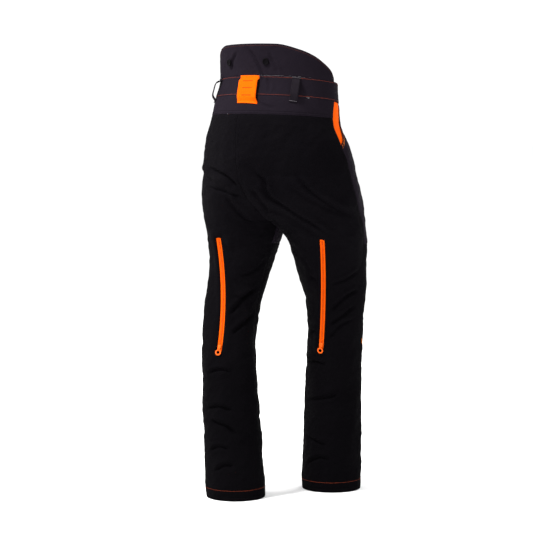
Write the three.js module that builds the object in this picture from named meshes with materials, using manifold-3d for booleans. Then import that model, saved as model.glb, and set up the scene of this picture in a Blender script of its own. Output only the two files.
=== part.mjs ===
// Chainsaw protective trousers with a raised kidney flap, standing as if worn, one foot forward.
// Millimetres, +Z up. The wearer faces -Y and the wearer's left is +X. The hems stand on z = 0.
//
// Each half of the garment is a family of loops round one leg. A loop is an ellipse at one height,
// read by an angle beta: 0 at the outer side, +90 degrees at the back, -90 degrees at the front and
// 180 degrees at the inseam. Above the crotch only the outer part of the ellipse is used, so that the
// two halves meet on the plane x = 0. Every cloth layer is a grid on these loops, with a real thickness.
import * as THREE from 'three';
import Module from 'manifold-3d';

const ORIGIN_Y = 29.6;           // puts the origin under the middle of the standing garment
const SEAM_GAP = 0.3;            // clearance between neighbouring pieces
const SHELL = 3;                 // outer fabric with its bonded lining
const PAD = 6.5;                 // stacked cut-stopping fibre layers
const LINING = 1.6;              // inner mesh lining
const POCKET = 2.4;              // both layers of a pocket bag
const FACET_ROOM = 1.8;          // room between layers whose flat facets fall in different places

const CROTCH = 716;
const SEAT = 836;                // where the centre seam starts to curve under the seat
const YOKE = 991;                // lower edge of the rear yoke
const WAIST_LOW = 1038;
const WAIST_TOP = 1088;
const HEM_TURN = 28;             // height of the turned-up hem
const KNEE_TOP = 656;            // grey hip panel above it, black knee panel below it
const KNEE_BOTTOM = 327;
const PAD_TOP = 906;
const PAD_BOTTOM = 46;
const FRONT_DROP = 28;           // how much lower the waist is at the front than at the back
const FRONT_DROP_START = 836;
const FRONT_DROP_END = 1056;
const THIGH_BLEND = 60;          // height over which a leg's depth grows into the pelvis
const STANCE_START = 736;        // below this the whole loop moves with the leg
const STANCE_SLOPE = 0.8;
const STANCE_WIDTH = 90;         // above it the move fades out over this width at the centre
const RIGHT = Math.PI / 2;

// Half width, back depth and front depth of the body at each height: [height, value].
const HALF_WIDTH = [[716, 206], [836, 212], [916, 203], [991, 180], [1038, 176], [1088, 171], [1190, 170]];
const BACK_DEPTH = [[716, 118], [836, 160], [916, 168], [991, 160], [1038, 141], [1088, 117], [1190, 126]];
const FRONT_DEPTH = [[716, 112], [806, 132], [876, 132], [960, 120], [1038, 114], [1088, 121], [1190, 116]];
// Leg sizes: half width of each leg, its depth as a share of that, and where its middle runs.
const LEG_RADIUS = {
  left: [[0, 76], [216, 74], [316, 71], [400, 70], [480, 72], [560, 76], [606, 82], [656, 92], [716, 103]],
  right: [[0, 78], [216, 75], [316, 73], [440, 72], [480, 74], [560, 84], [606, 90], [656, 97], [716, 103]],
};
const LEG_DEPTH_SHARE = [[0, 1], [480, 1], [606, 1.06], [716, 1.12]];
const LEG_MIDDLE = [[0, 100], [636, 104], [716, 103]];
// The stance: how far each leg is moved sideways and fore-and-aft at each height.
const STANCE_X = {
  left: [[0, -38], [316, -6], [496, 18], [616, 5], [716, 0], [966, 0]],
  right: [[0, 46], [316, 34], [496, 15], [616, 8], [716, 0], [966, 0]],
};
const STANCE_Y = {
  left: [[0, 98], [316, 84], [496, 42], [616, 18], [716, 8], [966, 0]],
  right: [[0, -156], [316, -148], [496, -128], [616, -95], [716, -62], [836, -25], [966, 0]],
};
// How far the seams turn round the leg at each height, in degrees.
const SEAM_TWIST = {
  left: [[0, 20], [381, 24], [526, 12], [671, 3], [780, 4], [880, 10], [935, 13], [985, 11], [1040, 4]],
  right: [[0, -6], [381, -8], [526, -7], [671, -12], [780, 4], [880, 10], [935, 13], [985, 11], [1040, 4]],
};
const TWIST_FADE = 150;          // the inseam takes up the twist over this height below the crotch
const SIDE_SEAM_ANGLE = -10;     // the side seam sits this far forward of the side, in degrees

const VENT_TOP = 671;
const VENT_BOTTOM = 381;
const VENT_PLACE = {             // share of the way from the side seam round the back to the inseam
  left: [[381, 0.5], [466, 0.55], [526, 0.552], [600, 0.515], [671, 0.51]],
  right: [[381, 0.53], [455, 0.52], [526, 0.48], [600, 0.45], [671, 0.397]],
};
const SLOT_HALF_SHARE = 0.04;    // half width of the vent's slot, as a share of the back panel
const FLY_TOP = 1031;
const FLY_BOTTOM = 888;
const FLY_HALF_SLOT = 9;
const POCKET_FOOT = 916;
// How far the pocket mouth opens the front panel at each height, as a share of the panel.
const POCKET_MOUTH = [[POCKET_FOOT, 0], [934, 0.085], [1035, 0.3]];

// Height of the kidney flap above the waistband: [degrees round from the centre back, height].
const FLAP_HEIGHTS = [[0, 79], [28, 79], [51, 68], [68, 54], [79, 40], [91, 24], [100, 5]];
const WAIST_SEAM = 100;          // where the rear waistband meets the front ones, in degrees from the centre back

const HALVES = { left: 1, right: -1 };
const wasm = await Module();
wasm.setup();
const model = new THREE.Group();

// ---------- materials ----------

const surface = (color, roughness, metalness) => () => (
  new THREE.MeshStandardMaterial({ color, roughness, metalness }));
const cloth = (color, roughness = 0.9) => surface(color, roughness, 0);
const metal = (color) => surface(color, 0.35, 0.9);
const blackStretch = cloth(0x2c2a2d);
const greyCanvas = cloth(0x57525a);
const orangeTape = cloth(0xff7d0a, 0.75);
const whiteFibre = cloth(0xd8d6cf);
const darkMesh = cloth(0x1c1b1e);
const darkWebbing = cloth(0x3a373c);
const blackPlastic = cloth(0x161518, 0.45);
const gunmetal = metal(0x3a3a3e);

// ---------- curves and loops ----------

function smooth(value) {
  const t = THREE.MathUtils.clamp(value, 0, 1);
  return t * t * (3 - 2 * t);
}

// A smooth curve through [height, value] stations that never overshoots them.
function along(stations, height) {
  const last = stations.length - 1;
  const z = THREE.MathUtils.clamp(height, stations[0][0], stations[last][0]);
  let i = 0;
  while (i < last - 1 && z > stations[i + 1][0]) i += 1;
  const rise = (k) => (stations[k + 1][1] - stations[k][1]) / (stations[k + 1][0] - stations[k][0]);
  const slope = (k) => {
    if (k === 0) return rise(0);
    if (k === last) return rise(last - 1);
    const before = rise(k - 1);
    const after = rise(k);
    return before * after > 0 ? (2 * before * after) / (before + after) : 0;
  };
  const span = stations[i + 1][0] - stations[i][0];
  const t = (z - stations[i][0]) / span;
  const u = 1 - t;
  return (1 + 2 * t) * u * u * stations[i][1] + t * u * u * span * slope(i)
    + t * t * (3 - 2 * t) * stations[i + 1][1] + t * t * (t - 1) * span * slope(i + 1);
}

// The angle at which a loop reaches the centre seam or the inseam.
function endAngle(z) {
  if (z >= SEAT) return RIGHT;
  if (z <= CROTCH) return Math.PI;
  return RIGHT + Math.asin((SEAT - z) / (SEAT - CROTCH));
}

function loopPoint(half, z, beta) {
  const side = HALVES[half];
  const topDepth = LEG_DEPTH_SHARE[LEG_DEPTH_SHARE.length - 1][1];
  const topRadius = LEG_RADIUS[half][LEG_RADIUS[half].length - 1][1];
  const depths = beta > 0 ? BACK_DEPTH : FRONT_DEPTH;
  let radius;
  let middle;
  let depth;
  if (z < CROTCH) {
    const blend = 1 - smooth((CROTCH - z) / THIGH_BLEND);
    radius = along(LEG_RADIUS[half], z);
    middle = along(LEG_MIDDLE, z);
    depth = radius * along(LEG_DEPTH_SHARE, z) + (along(depths, CROTCH) - topRadius * topDepth) * blend;
  } else {
    const halfWidth = along(HALF_WIDTH, z);
    radius = halfWidth / (1 - Math.cos(endAngle(z)));
    middle = halfWidth - radius;
    depth = along(depths, z);
  }
  const x = middle + radius * Math.cos(beta);
  const y = depth * Math.sin(beta);
  const weight = smooth((x + Math.max(0, STANCE_START - z) * STANCE_SLOPE) / STANCE_WIDTH);
  const drop = FRONT_DROP * smooth((z - FRONT_DROP_START) / (FRONT_DROP_END - FRONT_DROP_START));
  return new THREE.Vector3(
    side * (x + SEAM_GAP) + along(STANCE_X[half], z) * weight,
    ORIGIN_Y + y + along(STANCE_Y[half], z) * weight,
    z - drop * (1 - Math.sin(beta)) / 2,
  );
}

// Level, outward-pointing direction of the cloth.
function outward(half, z, beta) {
  const step = 0.01;
  const tangent = loopPoint(half, z, beta + step).sub(loopPoint(half, z, beta - step));
  return new THREE.Vector3(tangent.y, -tangent.x, 0).multiplyScalar(HALVES[half]).normalize();
}

// A point of the cloth, pushed inward by a depth.
function layerPoint(half, z, beta, depth) {
  return loopPoint(half, z, beta).addScaledVector(outward(half, z, beta), -depth);
}

const radians = THREE.MathUtils.degToRad;

function sideSeam(half, z) {
  return radians(SIDE_SEAM_ANGLE + along(SEAM_TWIST[half], z));
}

function inseam(half, z) {
  const turn = radians(along(SEAM_TWIST[half], z)) * smooth((CROTCH - z) / TWIST_FADE);
  return endAngle(z) + turn;
}

// share runs from the side seam (0) round the back to the centre seam or inseam (1).
function backPoint(half, z, share, depth) {
  const start = sideSeam(half, z);
  return layerPoint(half, z, start + (inseam(half, z) - start) * share, depth);
}

// share runs from the side seam (0) round the front to the centre seam or inseam (1).
function frontPoint(half, z, share, depth) {
  const start = sideSeam(half, z);
  const end = z < CROTCH ? inseam(half, z) - 2 * Math.PI : -endAngle(z);
  return layerPoint(half, z, start + (end - start) * share, depth);
}

// degrees run round the waist from the centre back, positive towards the wearer's left.
function waistPoint(z, degrees, depth) {
  const half = degrees < 0 ? 'right' : 'left';
  const point = layerPoint(half, z, radians(90 - Math.abs(degrees)), depth);
  point.x -= HALVES[half] * SEAM_GAP;
  return point;
}

// ---------- solids ----------

// A closed solid between the outer and inner depth of a grid of cloth points. keep says which cells
// are cloth, so a slot is left open, and closed joins the last column to the first.
function clothSolid({ rows, columns, place, depths, keep = () => true, closed = false }) {
  const width = columns.length;
  const cells = closed ? width : width - 1;
  const positions = [];
  const triangles = [];
  for (const depth of depths) {
    for (const row of rows) {
      for (const column of columns) positions.push(...place(row, column, depth).toArray());
    }
  }
  const inner = rows.length * width;
  const vertex = (i, j) => i * width + (j % width);
  const quad = (a, b, c, d) => triangles.push(a, b, c, a, c, d);
  const filled = (i, j) => {
    if (i < 0 || i >= rows.length - 1) return false;
    if (!closed && (j < 0 || j >= cells)) return false;
    return keep(i, (j + cells) % cells);
  };
  for (let i = 0; i < rows.length - 1; i += 1) {
    for (let j = 0; j < cells; j += 1) {
      if (!filled(i, j)) continue;
      const corner = [vertex(i, j), vertex(i, j + 1), vertex(i + 1, j + 1), vertex(i + 1, j)];
      const [a, b, c, d] = corner;
      quad(a, b, c, d);
      quad(a + inner, d + inner, c + inner, b + inner);
      const neighbours = [[i - 1, j], [i, j + 1], [i + 1, j], [i, j - 1]];
      neighbours.forEach(([ni, nj], edge) => {
        if (filled(ni, nj)) return;
        const from = corner[edge];
        const to = corner[(edge + 1) % 4];
        quad(to, from, from + inner, to + inner);
      });
    }
  }
  return closedGeometry(positions, triangles);
}

// A closed geometry with its faces pointing out, whichever way its triangles were listed.
function closedGeometry(positions, triangles) {
  const at = (k) => new THREE.Vector3().fromArray(positions, 3 * k);
  let volume = 0;
  for (let k = 0; k < triangles.length; k += 3) {
    volume += at(triangles[k]).dot(at(triangles[k + 1]).cross(at(triangles[k + 2])));
  }
  if (volume < 0) triangles.reverse();
  const used = [...new Set(triangles)];
  const renumber = new Map(used.map((old, fresh) => [old, fresh]));
  const geometry = new THREE.BufferGeometry();
  const kept = used.flatMap((old) => positions.slice(3 * old, 3 * old + 3));
  geometry.setAttribute('position', new THREE.Float32BufferAttribute(kept, 3));
  geometry.setIndex(triangles.map((old) => renumber.get(old)));
  geometry.computeVertexNormals();
  return geometry;
}

// A closed outline [[across, out], ...] swept along a path. frame(t) gives origin, across and out.
function sweptSolid(outline, frame, start, end, steps) {
  const size = outline.length;
  const positions = [];
  const triangles = [];
  for (let i = 0; i <= steps; i += 1) {
    const { origin, across, out } = frame(start + ((end - start) * i) / steps);
    for (const [a, o] of outline) {
      positions.push(...origin.clone().addScaledVector(across, a).addScaledVector(out, o).toArray());
    }
  }
  for (let i = 0; i < steps; i += 1) {
    for (let j = 0; j < size; j += 1) {
      const a = i * size + j;
      const b = i * size + ((j + 1) % size);
      triangles.push(a, b, b + size, a, b + size, a + size);
    }
  }
  const caps = THREE.ShapeUtils.triangulateShape(outline.map((p) => new THREE.Vector2(...p)), []);
  const counterClockwise = THREE.ShapeUtils.area(outline.map((p) => new THREE.Vector2(...p))) > 0;
  for (const cap of caps) {
    const low = counterClockwise ? [...cap].reverse() : cap;
    const high = counterClockwise ? cap : [...cap].reverse();
    triangles.push(...low);
    triangles.push(...high.map((k) => k + steps * size));
  }
  return closedGeometry(positions, triangles);
}

function band(halfWidth, low, high) {
  return [[-halfWidth, low], [halfWidth, low], [halfWidth, high], [-halfWidth, high]];
}

function addPiece(name, geometry, material, parent = model) {
  const mesh = new THREE.Mesh(geometry, material());
  mesh.name = name;
  parent.add(mesh);
  return mesh;
}

function evenly(start, end, count) {
  return Array.from({ length: count + 1 }, (_, i) => start + ((end - start) * i) / count);
}

// Heights from the waist down to the hem that every layer of a leg shares.
const CROTCH_HEIGHTS = [14, 32, 52, 90].map((turn) => SEAT - (SEAT - CROTCH) * Math.sin(radians(turn)));
const SHARED_HEIGHTS = [
  WAIST_LOW, YOKE, POCKET_MOUTH[1][0], POCKET_FOOT, PAD_TOP, FLY_BOTTOM, 862, SEAT, ...CROTCH_HEIGHTS,
  VENT_TOP, KNEE_TOP, 615, 560, 500, 440, VENT_BOTTOM, KNEE_BOTTOM, 240, 140, PAD_BOTTOM, HEM_TURN, 0,
];

function heights(top, bottom) {
  const inside = SHARED_HEIGHTS.filter((z) => z < top - 2 * SEAM_GAP && z > bottom + 2 * SEAM_GAP);
  const upper = top === WAIST_LOW ? top - SEAM_GAP : top - SEAM_GAP / 2;
  const lower = bottom === 0 ? 0 : bottom + SEAM_GAP / 2;
  return [upper, ...inside, lower];
}

// ---------- leg pieces ----------

const SEAM_SHARE = 0.0015;       // half a seam gap, as a share of a panel's width
const BACK_SHARES = [
  SEAM_SHARE, 0.12, 0.25, 0.37, 0.5 - SLOT_HALF_SHARE,
  0.5 + SLOT_HALF_SHARE, 0.63, 0.75, 0.88, 1 - SEAM_SHARE,
];
const FRONT_SHARES = [SEAM_SHARE, 0.12, 0.25, 0.37, 0.5, 0.63, 0.75, 0.86, 0.93, 1 - SEAM_SHARE];
const SLOT_COLUMN = BACK_SHARES.indexOf(0.5 - SLOT_HALF_SHARE);

// Shifts the columns of the back panel so that the middle one follows the vent.
function ventShare(half, z, share) {
  const vent = along(VENT_PLACE[half], z);
  return share < 0.5 ? 2 * share * vent : vent + (2 * share - 1) * (1 - vent);
}

function backPanel(half) {
  const rows = heights(YOKE, 0);
  const inSlot = (i) => rows[i] <= VENT_TOP && rows[i + 1] >= VENT_BOTTOM;
  return clothSolid({
    rows,
    columns: BACK_SHARES,
    place: (z, share, depth) => backPoint(half, z, ventShare(half, z, share), depth),
    depths: [0, SHELL],
    keep: (i, j) => !(j === SLOT_COLUMN && inSlot(i)),
  });
}

const GIRTH_RATIO = 1.35;        // the front of the pelvis, side seam to fly, against its half width

// The front of the pelvis stops short of the fly's slot, and of the pocket mouth at the side.
function hipShare(half, z, share) {
  const frontGirth = along(HALF_WIDTH, z) * GIRTH_RATIO;
  const fly = z >= FLY_BOTTOM ? FLY_HALF_SLOT / frontGirth : 0;
  const mouth = along(POCKET_MOUTH, z);
  return mouth + (1 - fly - mouth) * share;
}

function frontPanel(half, top, bottom) {
  return clothSolid({
    rows: heights(top, bottom),
    columns: FRONT_SHARES,
    place: (z, share, depth) => frontPoint(half, z, hipShare(half, z, share), depth),
    depths: [0, SHELL],
  });
}

const PAD_OUTER = SHELL + FACET_ROOM;
const LINING_OUTER = PAD_OUTER + PAD + FACET_ROOM / 2;
const POCKET_OUTER = LINING_OUTER + LINING + FACET_ROOM;

const PAD_SIDE = 0.035;
const PAD_SHARE = 0.93;
const PAD_FLY_SHARE = 0.04;
const PAD_FLY_HEIGHT = FLY_BOTTOM - 10;

// The protective layers stop short of the centre seam, and further back beside the fly.
function padEdge(z) {
  return PAD_SHARE - PAD_FLY_SHARE * smooth((z - SEAT) / (PAD_FLY_HEIGHT - SEAT));
}

function frontLayer(half, outer, thickness) {
  return clothSolid({
    rows: heights(PAD_TOP, PAD_BOTTOM),
    columns: [PAD_SIDE, ...FRONT_SHARES.slice(1, -1)],
    place: (z, share, depth) => frontPoint(half, z, Math.min(share, padEdge(z)), depth),
    depths: [outer, outer + thickness],
  });
}

const HEM_STEP = 15;             // degrees between the facing's columns

function hemFacing(half) {
  return clothSolid({
    rows: [HEM_TURN, 0],
    columns: evenly(-180, 180 - HEM_STEP, 360 / HEM_STEP - 1),
    place: (z, turn, depth) => layerPoint(half, z, sideSeam(half, z) + radians(turn), depth),
    depths: [PAD_OUTER, PAD_OUTER + 2 * LINING],
    closed: true,
  });
}

function pocketFacing(half) {
  return clothSolid({
    rows: [WAIST_LOW - SEAM_GAP, YOKE, POCKET_MOUTH[1][0], POCKET_FOOT - 6],
    columns: [0.004, 0.12, 0.23, 0.35],
    place: (z, share, depth) => frontPoint(half, z, share, depth),
    depths: [PAD_OUTER, PAD_OUTER + LINING],
  });
}

function pocketBag(half) {
  return clothSolid({
    rows: [WAIST_LOW - 13, YOKE, POCKET_MOUTH[1][0], PAD_TOP, FLY_BOTTOM, SEAT],
    columns: [0.03, 0.14, 0.28, 0.42, 0.5],
    place: (z, share, depth) => frontPoint(half, z, share, depth),
    depths: [POCKET_OUTER, POCKET_OUTER + POCKET],
  });
}

// ---------- zips ----------

const TAPE_HALF = 6.5;
const TAPE_OUT = [-3.2, -2.2];        // the tape lies in the slot, level with the back of the cloth
const COIL_HALF = 2.8;
const COIL_OUT = [TAPE_OUT[1] + SEAM_GAP, -0.1];
const SLIDER_LENGTH = 13;
const SLIDER_HALF = 5.2;
const SLIDER_WALL = 1.4;
const SLIDER_TOP = 1.8;
const BAIL_WALL = 0.9;
const BAIL_WIDTH = 2.4;
const TAPE_INSET = 0.6;               // the tape stops this far inside its slot
const STOP_LENGTH = 3;
const VENT_CLEAR = 3;                 // bare slot at each end of a vent's coil
const NET_LAP = 4;                    // the vent's net reaches this far past its slot
const NET_ROOM = 6;
const NET_THICK = 1;
const VENT_PIVOT = -1.2;              // the vent's arch overhangs the lower end of its slider
const PIVOT_OUT = 3.3;                // the pull's pivot above the cloth
const PULL_RADIUS = 6.5;
const PULL_WIRE = 1.1;

// The channel section of a slider, which straddles the coil.
function sliderSection() {
  const foot = TAPE_OUT[1] + 2 * SEAM_GAP;
  const roof = COIL_OUT[1] + 2 * SEAM_GAP;
  const wall = SLIDER_HALF - SLIDER_WALL;
  return [[-SLIDER_HALF, foot], [-wall, foot], [-wall, roof], [wall, roof], [wall, foot], [SLIDER_HALF, foot],
    [SLIDER_HALF, SLIDER_TOP - 1], [SLIDER_HALF - 1, SLIDER_TOP], [1 - SLIDER_HALF, SLIDER_TOP],
    [-SLIDER_HALF, SLIDER_TOP - 1]];
}

// The arch on a slider that the ring pull is threaded through. Its outline is [along, out].
function bailGeometry(frameAt, from) {
  const inside = PULL_WIRE + 2 * SEAM_GAP;
  const outside = inside + BAIL_WALL;
  const root = SLIDER_TOP - 0.5;
  const arch = [
    [-outside, root], [-outside, PIVOT_OUT + outside], [outside, PIVOT_OUT + outside], [outside, root],
    [inside, root], [inside, PIVOT_OUT + inside], [-inside, PIVOT_OUT + inside], [-inside, root],
  ];
  const shape = new THREE.Shape(arch.map(([u, v]) => new THREE.Vector2(u, v)));
  const geometry = new THREE.ExtrudeGeometry(shape, { depth: BAIL_WIDTH, bevelEnabled: false });
  geometry.translate(0, 0, -BAIL_WIDTH / 2);
  const { origin, across, out } = frameAt(from);
  const up = frameAt(from + 1).origin.sub(origin).normalize();
  const sideways = new THREE.Vector3().crossVectors(up, out);
  if (sideways.dot(across) < 0) up.negate();
  geometry.applyMatrix4(new THREE.Matrix4().makeBasis(up, out, across).setPosition(origin));
  return welded(geometry);
}

function solidOf(geometry) {
  const vertProperties = geometry.getAttribute('position').array;
  const triVerts = new Uint32Array(geometry.index.array);
  return new wasm.Manifold(new wasm.Mesh({ numProp: 3, vertProperties, triVerts }));
}

function joined(first, second) {
  const mesh = solidOf(first).add(solidOf(second)).getMesh();
  return closedGeometry([...mesh.vertProperties], [...mesh.triVerts]);
}

// A ring that hangs from its top edge, flat against the zip. It lies in the plane of across and along.
function ringGeometry(frameAt, from) {
  const { origin, across, out } = frameAt(from);
  const down = new THREE.Vector3().crossVectors(across, out).normalize();
  const toward = frameAt(from + 1).origin.sub(origin);
  if (down.dot(toward) > 0) down.negate();
  const ring = new THREE.TorusGeometry(PULL_RADIUS, PULL_WIRE, 6, 14);
  const basis = new THREE.Matrix4().makeBasis(across, down.clone().negate(), out);
  if (basis.determinant() < 0) basis.makeBasis(across.clone().negate(), down.clone().negate(), out);
  const centre = origin.clone().addScaledVector(out, PIVOT_OUT).addScaledVector(down, PULL_RADIUS);
  basis.setPosition(centre);
  ring.applyMatrix4(basis);
  return welded(ring);
}

function welded(geometry) {
  const source = (geometry.index ? geometry.toNonIndexed() : geometry).getAttribute('position');
  const keys = new Map();
  const positions = [];
  const triangles = [];
  for (let k = 0; k < source.count; k += 1) {
    const point = [source.getX(k), source.getY(k), source.getZ(k)];
    const key = point.map((value) => value.toFixed(3)).join();
    if (!keys.has(key)) {
      keys.set(key, keys.size);
      positions.push(...point);
    }
    triangles.push(keys.get(key));
  }
  const whole = [];
  for (let k = 0; k < triangles.length; k += 3) {
    const [a, b, c] = triangles.slice(k, k + 3);
    if (a !== b && b !== c && a !== c) whole.push(a, b, c);
  }
  return closedGeometry(positions, whole);
}

// frameAt(s) gives the zip's origin, across and out at a distance s above the coil's lower end.
function addZip({ prefix, frameAt, length, restAt, pivotAt, coilMaterial, tapeMaterial }) {
  const steps = Math.round(length / 24);
  const tape = band(TAPE_HALF, ...TAPE_OUT);
  const coil = band(COIL_HALF, ...COIL_OUT);
  const tapeSolid = sweptSolid(tape, frameAt, -TAPE_INSET, length + TAPE_INSET, steps);
  addPiece(`${prefix}_tape`, tapeSolid, tapeMaterial);
  addPiece(`${prefix}_coil`, sweptSolid(coil, frameAt, 0, length, steps), coilMaterial);
  const channel = sweptSolid(sliderSection(), frameAt, restAt, restAt + SLIDER_LENGTH, 1);
  addPiece(`${prefix}_slider`, joined(channel, bailGeometry(frameAt, restAt + pivotAt)), gunmetal);
  addPiece(`${prefix}_pull`, ringGeometry(frameAt, restAt + pivotAt), tapeMaterial);
}

function addStops(prefix, frameAt, length) {
  const stop = band(COIL_HALF + 0.6, ...COIL_OUT);
  const below = sweptSolid(stop, frameAt, -STOP_LENGTH - SEAM_GAP, -SEAM_GAP, 1);
  const above = sweptSolid(stop, frameAt, length + SEAM_GAP, length + SEAM_GAP + STOP_LENGTH, 1);
  addPiece(`${prefix}_bottom_stop`, below, gunmetal);
  addPiece(`${prefix}_top_stop`, above, gunmetal);
}

// The circle through three points, as a frame that moves along it. Its zip sits on a cone round the
// circle's axis, so the slider follows it by turning about that axis alone.
function arcThrough(low, middle, high, facing) {
  const a = low.clone().sub(middle);
  const b = high.clone().sub(middle);
  const axis = new THREE.Vector3().crossVectors(a, b).normalize();
  const cross = new THREE.Vector3().crossVectors(a, b);
  const mixed = b.clone().multiplyScalar(a.lengthSq()).sub(a.clone().multiplyScalar(b.lengthSq()));
  const centre = mixed.cross(cross).divideScalar(2 * cross.lengthSq()).add(middle);
  const start = low.clone().sub(centre);
  const radius = start.length();
  const sideways = new THREE.Vector3().crossVectors(axis, start).normalize();
  const end = high.clone().sub(centre);
  const turn = Math.atan2(end.dot(sideways), end.dot(start) / radius);
  const spin = turn < 0 ? -1 : 1;
  const radial = middle.clone().sub(centre).normalize();
  const lean = Math.atan2(facing.dot(axis), facing.dot(radial));
  const frameAt = (distance) => {
    const angle = (spin * distance) / radius;
    const towards = start.clone().normalize().applyAxisAngle(axis, angle);
    return {
      origin: centre.clone().addScaledVector(towards, radius),
      out: towards.clone().multiplyScalar(Math.cos(lean)).addScaledVector(axis, Math.sin(lean)),
      across: towards.clone().multiplyScalar(-Math.sin(lean)).addScaledVector(axis, Math.cos(lean)),
    };
  };
  return { frameAt, length: Math.abs(turn) * radius };
}

function addVent(half) {
  const middleHeight = (VENT_TOP + VENT_BOTTOM) / 2;
  const place = (z) => backPoint(half, z, along(VENT_PLACE[half], z), 0);
  const start = sideSeam(half, middleHeight);
  const beta = start + (inseam(half, middleHeight) - start) * along(VENT_PLACE[half], middleHeight);
  const facing = outward(half, middleHeight, beta);
  const arc = arcThrough(place(VENT_BOTTOM), place(middleHeight), place(VENT_TOP), facing);
  addZip({
    prefix: `${half}_vent`,
    frameAt: (distance) => arc.frameAt(distance + VENT_CLEAR),
    length: arc.length - 2 * VENT_CLEAR,
    restAt: SEAM_GAP,
    pivotAt: VENT_PIVOT,
    coilMaterial: orangeTape,
    tapeMaterial: orangeTape,
  });
  const net = band(TAPE_HALF + NET_LAP, TAPE_OUT[0] - NET_ROOM - NET_THICK, TAPE_OUT[0] - NET_ROOM);
  addPiece(`${half}_vent_mesh`, sweptSolid(net, arc.frameAt, -NET_LAP, arc.length + NET_LAP, 8), darkMesh);
}

const SHIELD_HALF = 17;
const SHIELD_OUT = [-8.8, -6.4];
const SHIELD_LAP = 12;               // the shield hangs this far below the zip

function addFly() {
  const pointAt = (z) => {
    const point = frontPoint('left', z, 1, 0);
    point.x = 0;
    return point;
  };
  const low = pointAt(FLY_BOTTOM + 5);
  const high = pointAt(FLY_TOP - 2);
  const rise = high.clone().sub(low).normalize();
  const across = new THREE.Vector3(1, 0, 0);
  const out = new THREE.Vector3().crossVectors(rise, across).normalize();
  if (out.y > 0) out.negate();
  const frameAt = (distance) => ({ origin: low.clone().addScaledVector(rise, distance), across, out });
  const length = high.distanceTo(low);
  addZip({
    prefix: 'fly',
    frameAt,
    length,
    restAt: length - SLIDER_LENGTH - 1,
    pivotAt: SLIDER_LENGTH * 0.45,
    coilMaterial: blackPlastic,
    tapeMaterial: darkWebbing,
  });
  addStops('fly', frameAt, length);
  const shield = band(SHIELD_HALF, ...SHIELD_OUT);
  addPiece('fly_shield', sweptSolid(shield, frameAt, -SHIELD_LAP, length - 2, 2), greyCanvas);
}

// ---------- waist pieces ----------

const WAIST_TURNS = evenly(-WAIST_SEAM, WAIST_SEAM, 14);
const BAND_SHELL = 4;
const BAND_GAP = 0.15;               // degrees between the rear and front waistbands
const BAND_ENDS = { left: 179.7, right: 176.5 };
const BAND_INSET = 3;                // the lining stops this far inside the band's edges
const FLAP_REACH = 98;
const FLAP_LINING = 2.5;
const LOOP_LIFT = 3.2;               // a loop's ends stand this far off the cloth, on their stitching
const LOOP_END = 7;
const LOOP_SLOPE = 6;
const LOOP_LOW = WAIST_LOW - 13;
const LOOP_HIGH = WAIST_TOP - 1;
const LABEL_LOW = WAIST_LOW - 20;
// Degrees round from the centre back.
const LOOP_TURNS = { rear: 47, front: 155 };
const BUTTON_TURNS = { side: 138, front: 166 };
const REAR_BUTTON_TURN = { left: 24, right: -18 };
const WAIST_BUTTON_TURN = 175;
const REAR_BUTTON_HEIGHT = WAIST_TOP + 35;
const BUTTON_HEIGHT = WAIST_TOP - 17;

function waistBand({ low, high, outer, thickness, turns = WAIST_TURNS, place = waistPoint }) {
  return clothSolid({
    rows: [high, (low + high) / 2, low],
    columns: turns,
    place,
    depths: [outer, outer + thickness],
  });
}

// The yoke reaches round to the side seams, wherever they run.
function yokePoint(z, turn, depth) {
  const reach = 90 - THREE.MathUtils.radToDeg(sideSeam('left', z));
  return waistPoint(z, (turn / WAIST_SEAM) * reach, depth);
}

function flapLayer(outer, thickness) {
  return clothSolid({
    rows: evenly(1, 0, 3),
    columns: evenly(-FLAP_REACH, FLAP_REACH, 14),
    place: (share, degrees, depth) => {
      const height = along(FLAP_HEIGHTS, Math.abs(degrees)) * share;
      return waistPoint(WAIST_TOP + SEAM_GAP + height, degrees, depth);
    },
    depths: [outer, outer + thickness],
  });
}

function frontBand(half) {
  const turns = evenly(WAIST_SEAM + BAND_GAP, BAND_ENDS[half], 6).map((turn) => turn * HALVES[half]);
  return waistBand({ low: WAIST_LOW, high: WAIST_TOP, outer: 0, thickness: BAND_SHELL, turns });
}

// A local frame on the waist: across runs round it, up rises along the cloth to the height above.
function waistFrame(z, degrees, above) {
  const origin = waistPoint(z, degrees, 0);
  const up = waistPoint(above, degrees, 0).sub(origin).normalize();
  const level = waistPoint(z, degrees, -1).sub(origin);
  const across = new THREE.Vector3().crossVectors(up, level).normalize();
  const out = new THREE.Vector3().crossVectors(across, up);
  return new THREE.Matrix4().makeBasis(across, up, out).setPosition(origin);
}

// A cloth loop: its ends lie on the waistband and its middle stands off so that a belt passes behind.
function beltLoop({ degrees, low, high, width, standOff, thickness }) {
  const tall = waistPoint(high, degrees, 0).distanceTo(waistPoint(low, degrees, 0));
  const inner = [
    [0, LOOP_LIFT], [LOOP_END, LOOP_LIFT], [LOOP_END + LOOP_SLOPE, standOff],
    [tall - LOOP_END - LOOP_SLOPE, standOff], [tall - LOOP_END, LOOP_LIFT], [tall, LOOP_LIFT],
  ];
  const outer = inner.map(([u, v]) => [u, v + thickness]).reverse();
  const shape = new THREE.Shape([...inner, ...outer].map(([u, v]) => new THREE.Vector2(u, v)));
  const geometry = new THREE.ExtrudeGeometry(shape, { depth: width, bevelEnabled: false });
  const turn = new THREE.Matrix4().makeBasis(
    new THREE.Vector3(0, 1, 0), new THREE.Vector3(0, 0, 1), new THREE.Vector3(1, 0, 0));
  geometry.applyMatrix4(turn);
  geometry.translate(-width / 2, 0, 0);
  geometry.applyMatrix4(waistFrame(low, degrees, high));
  return welded(geometry);
}

function webbingLoop(degrees) {
  return beltLoop({ degrees, low: LOOP_LOW, high: LOOP_HIGH, width: 20, standOff: 11, thickness: 2 });
}

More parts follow.
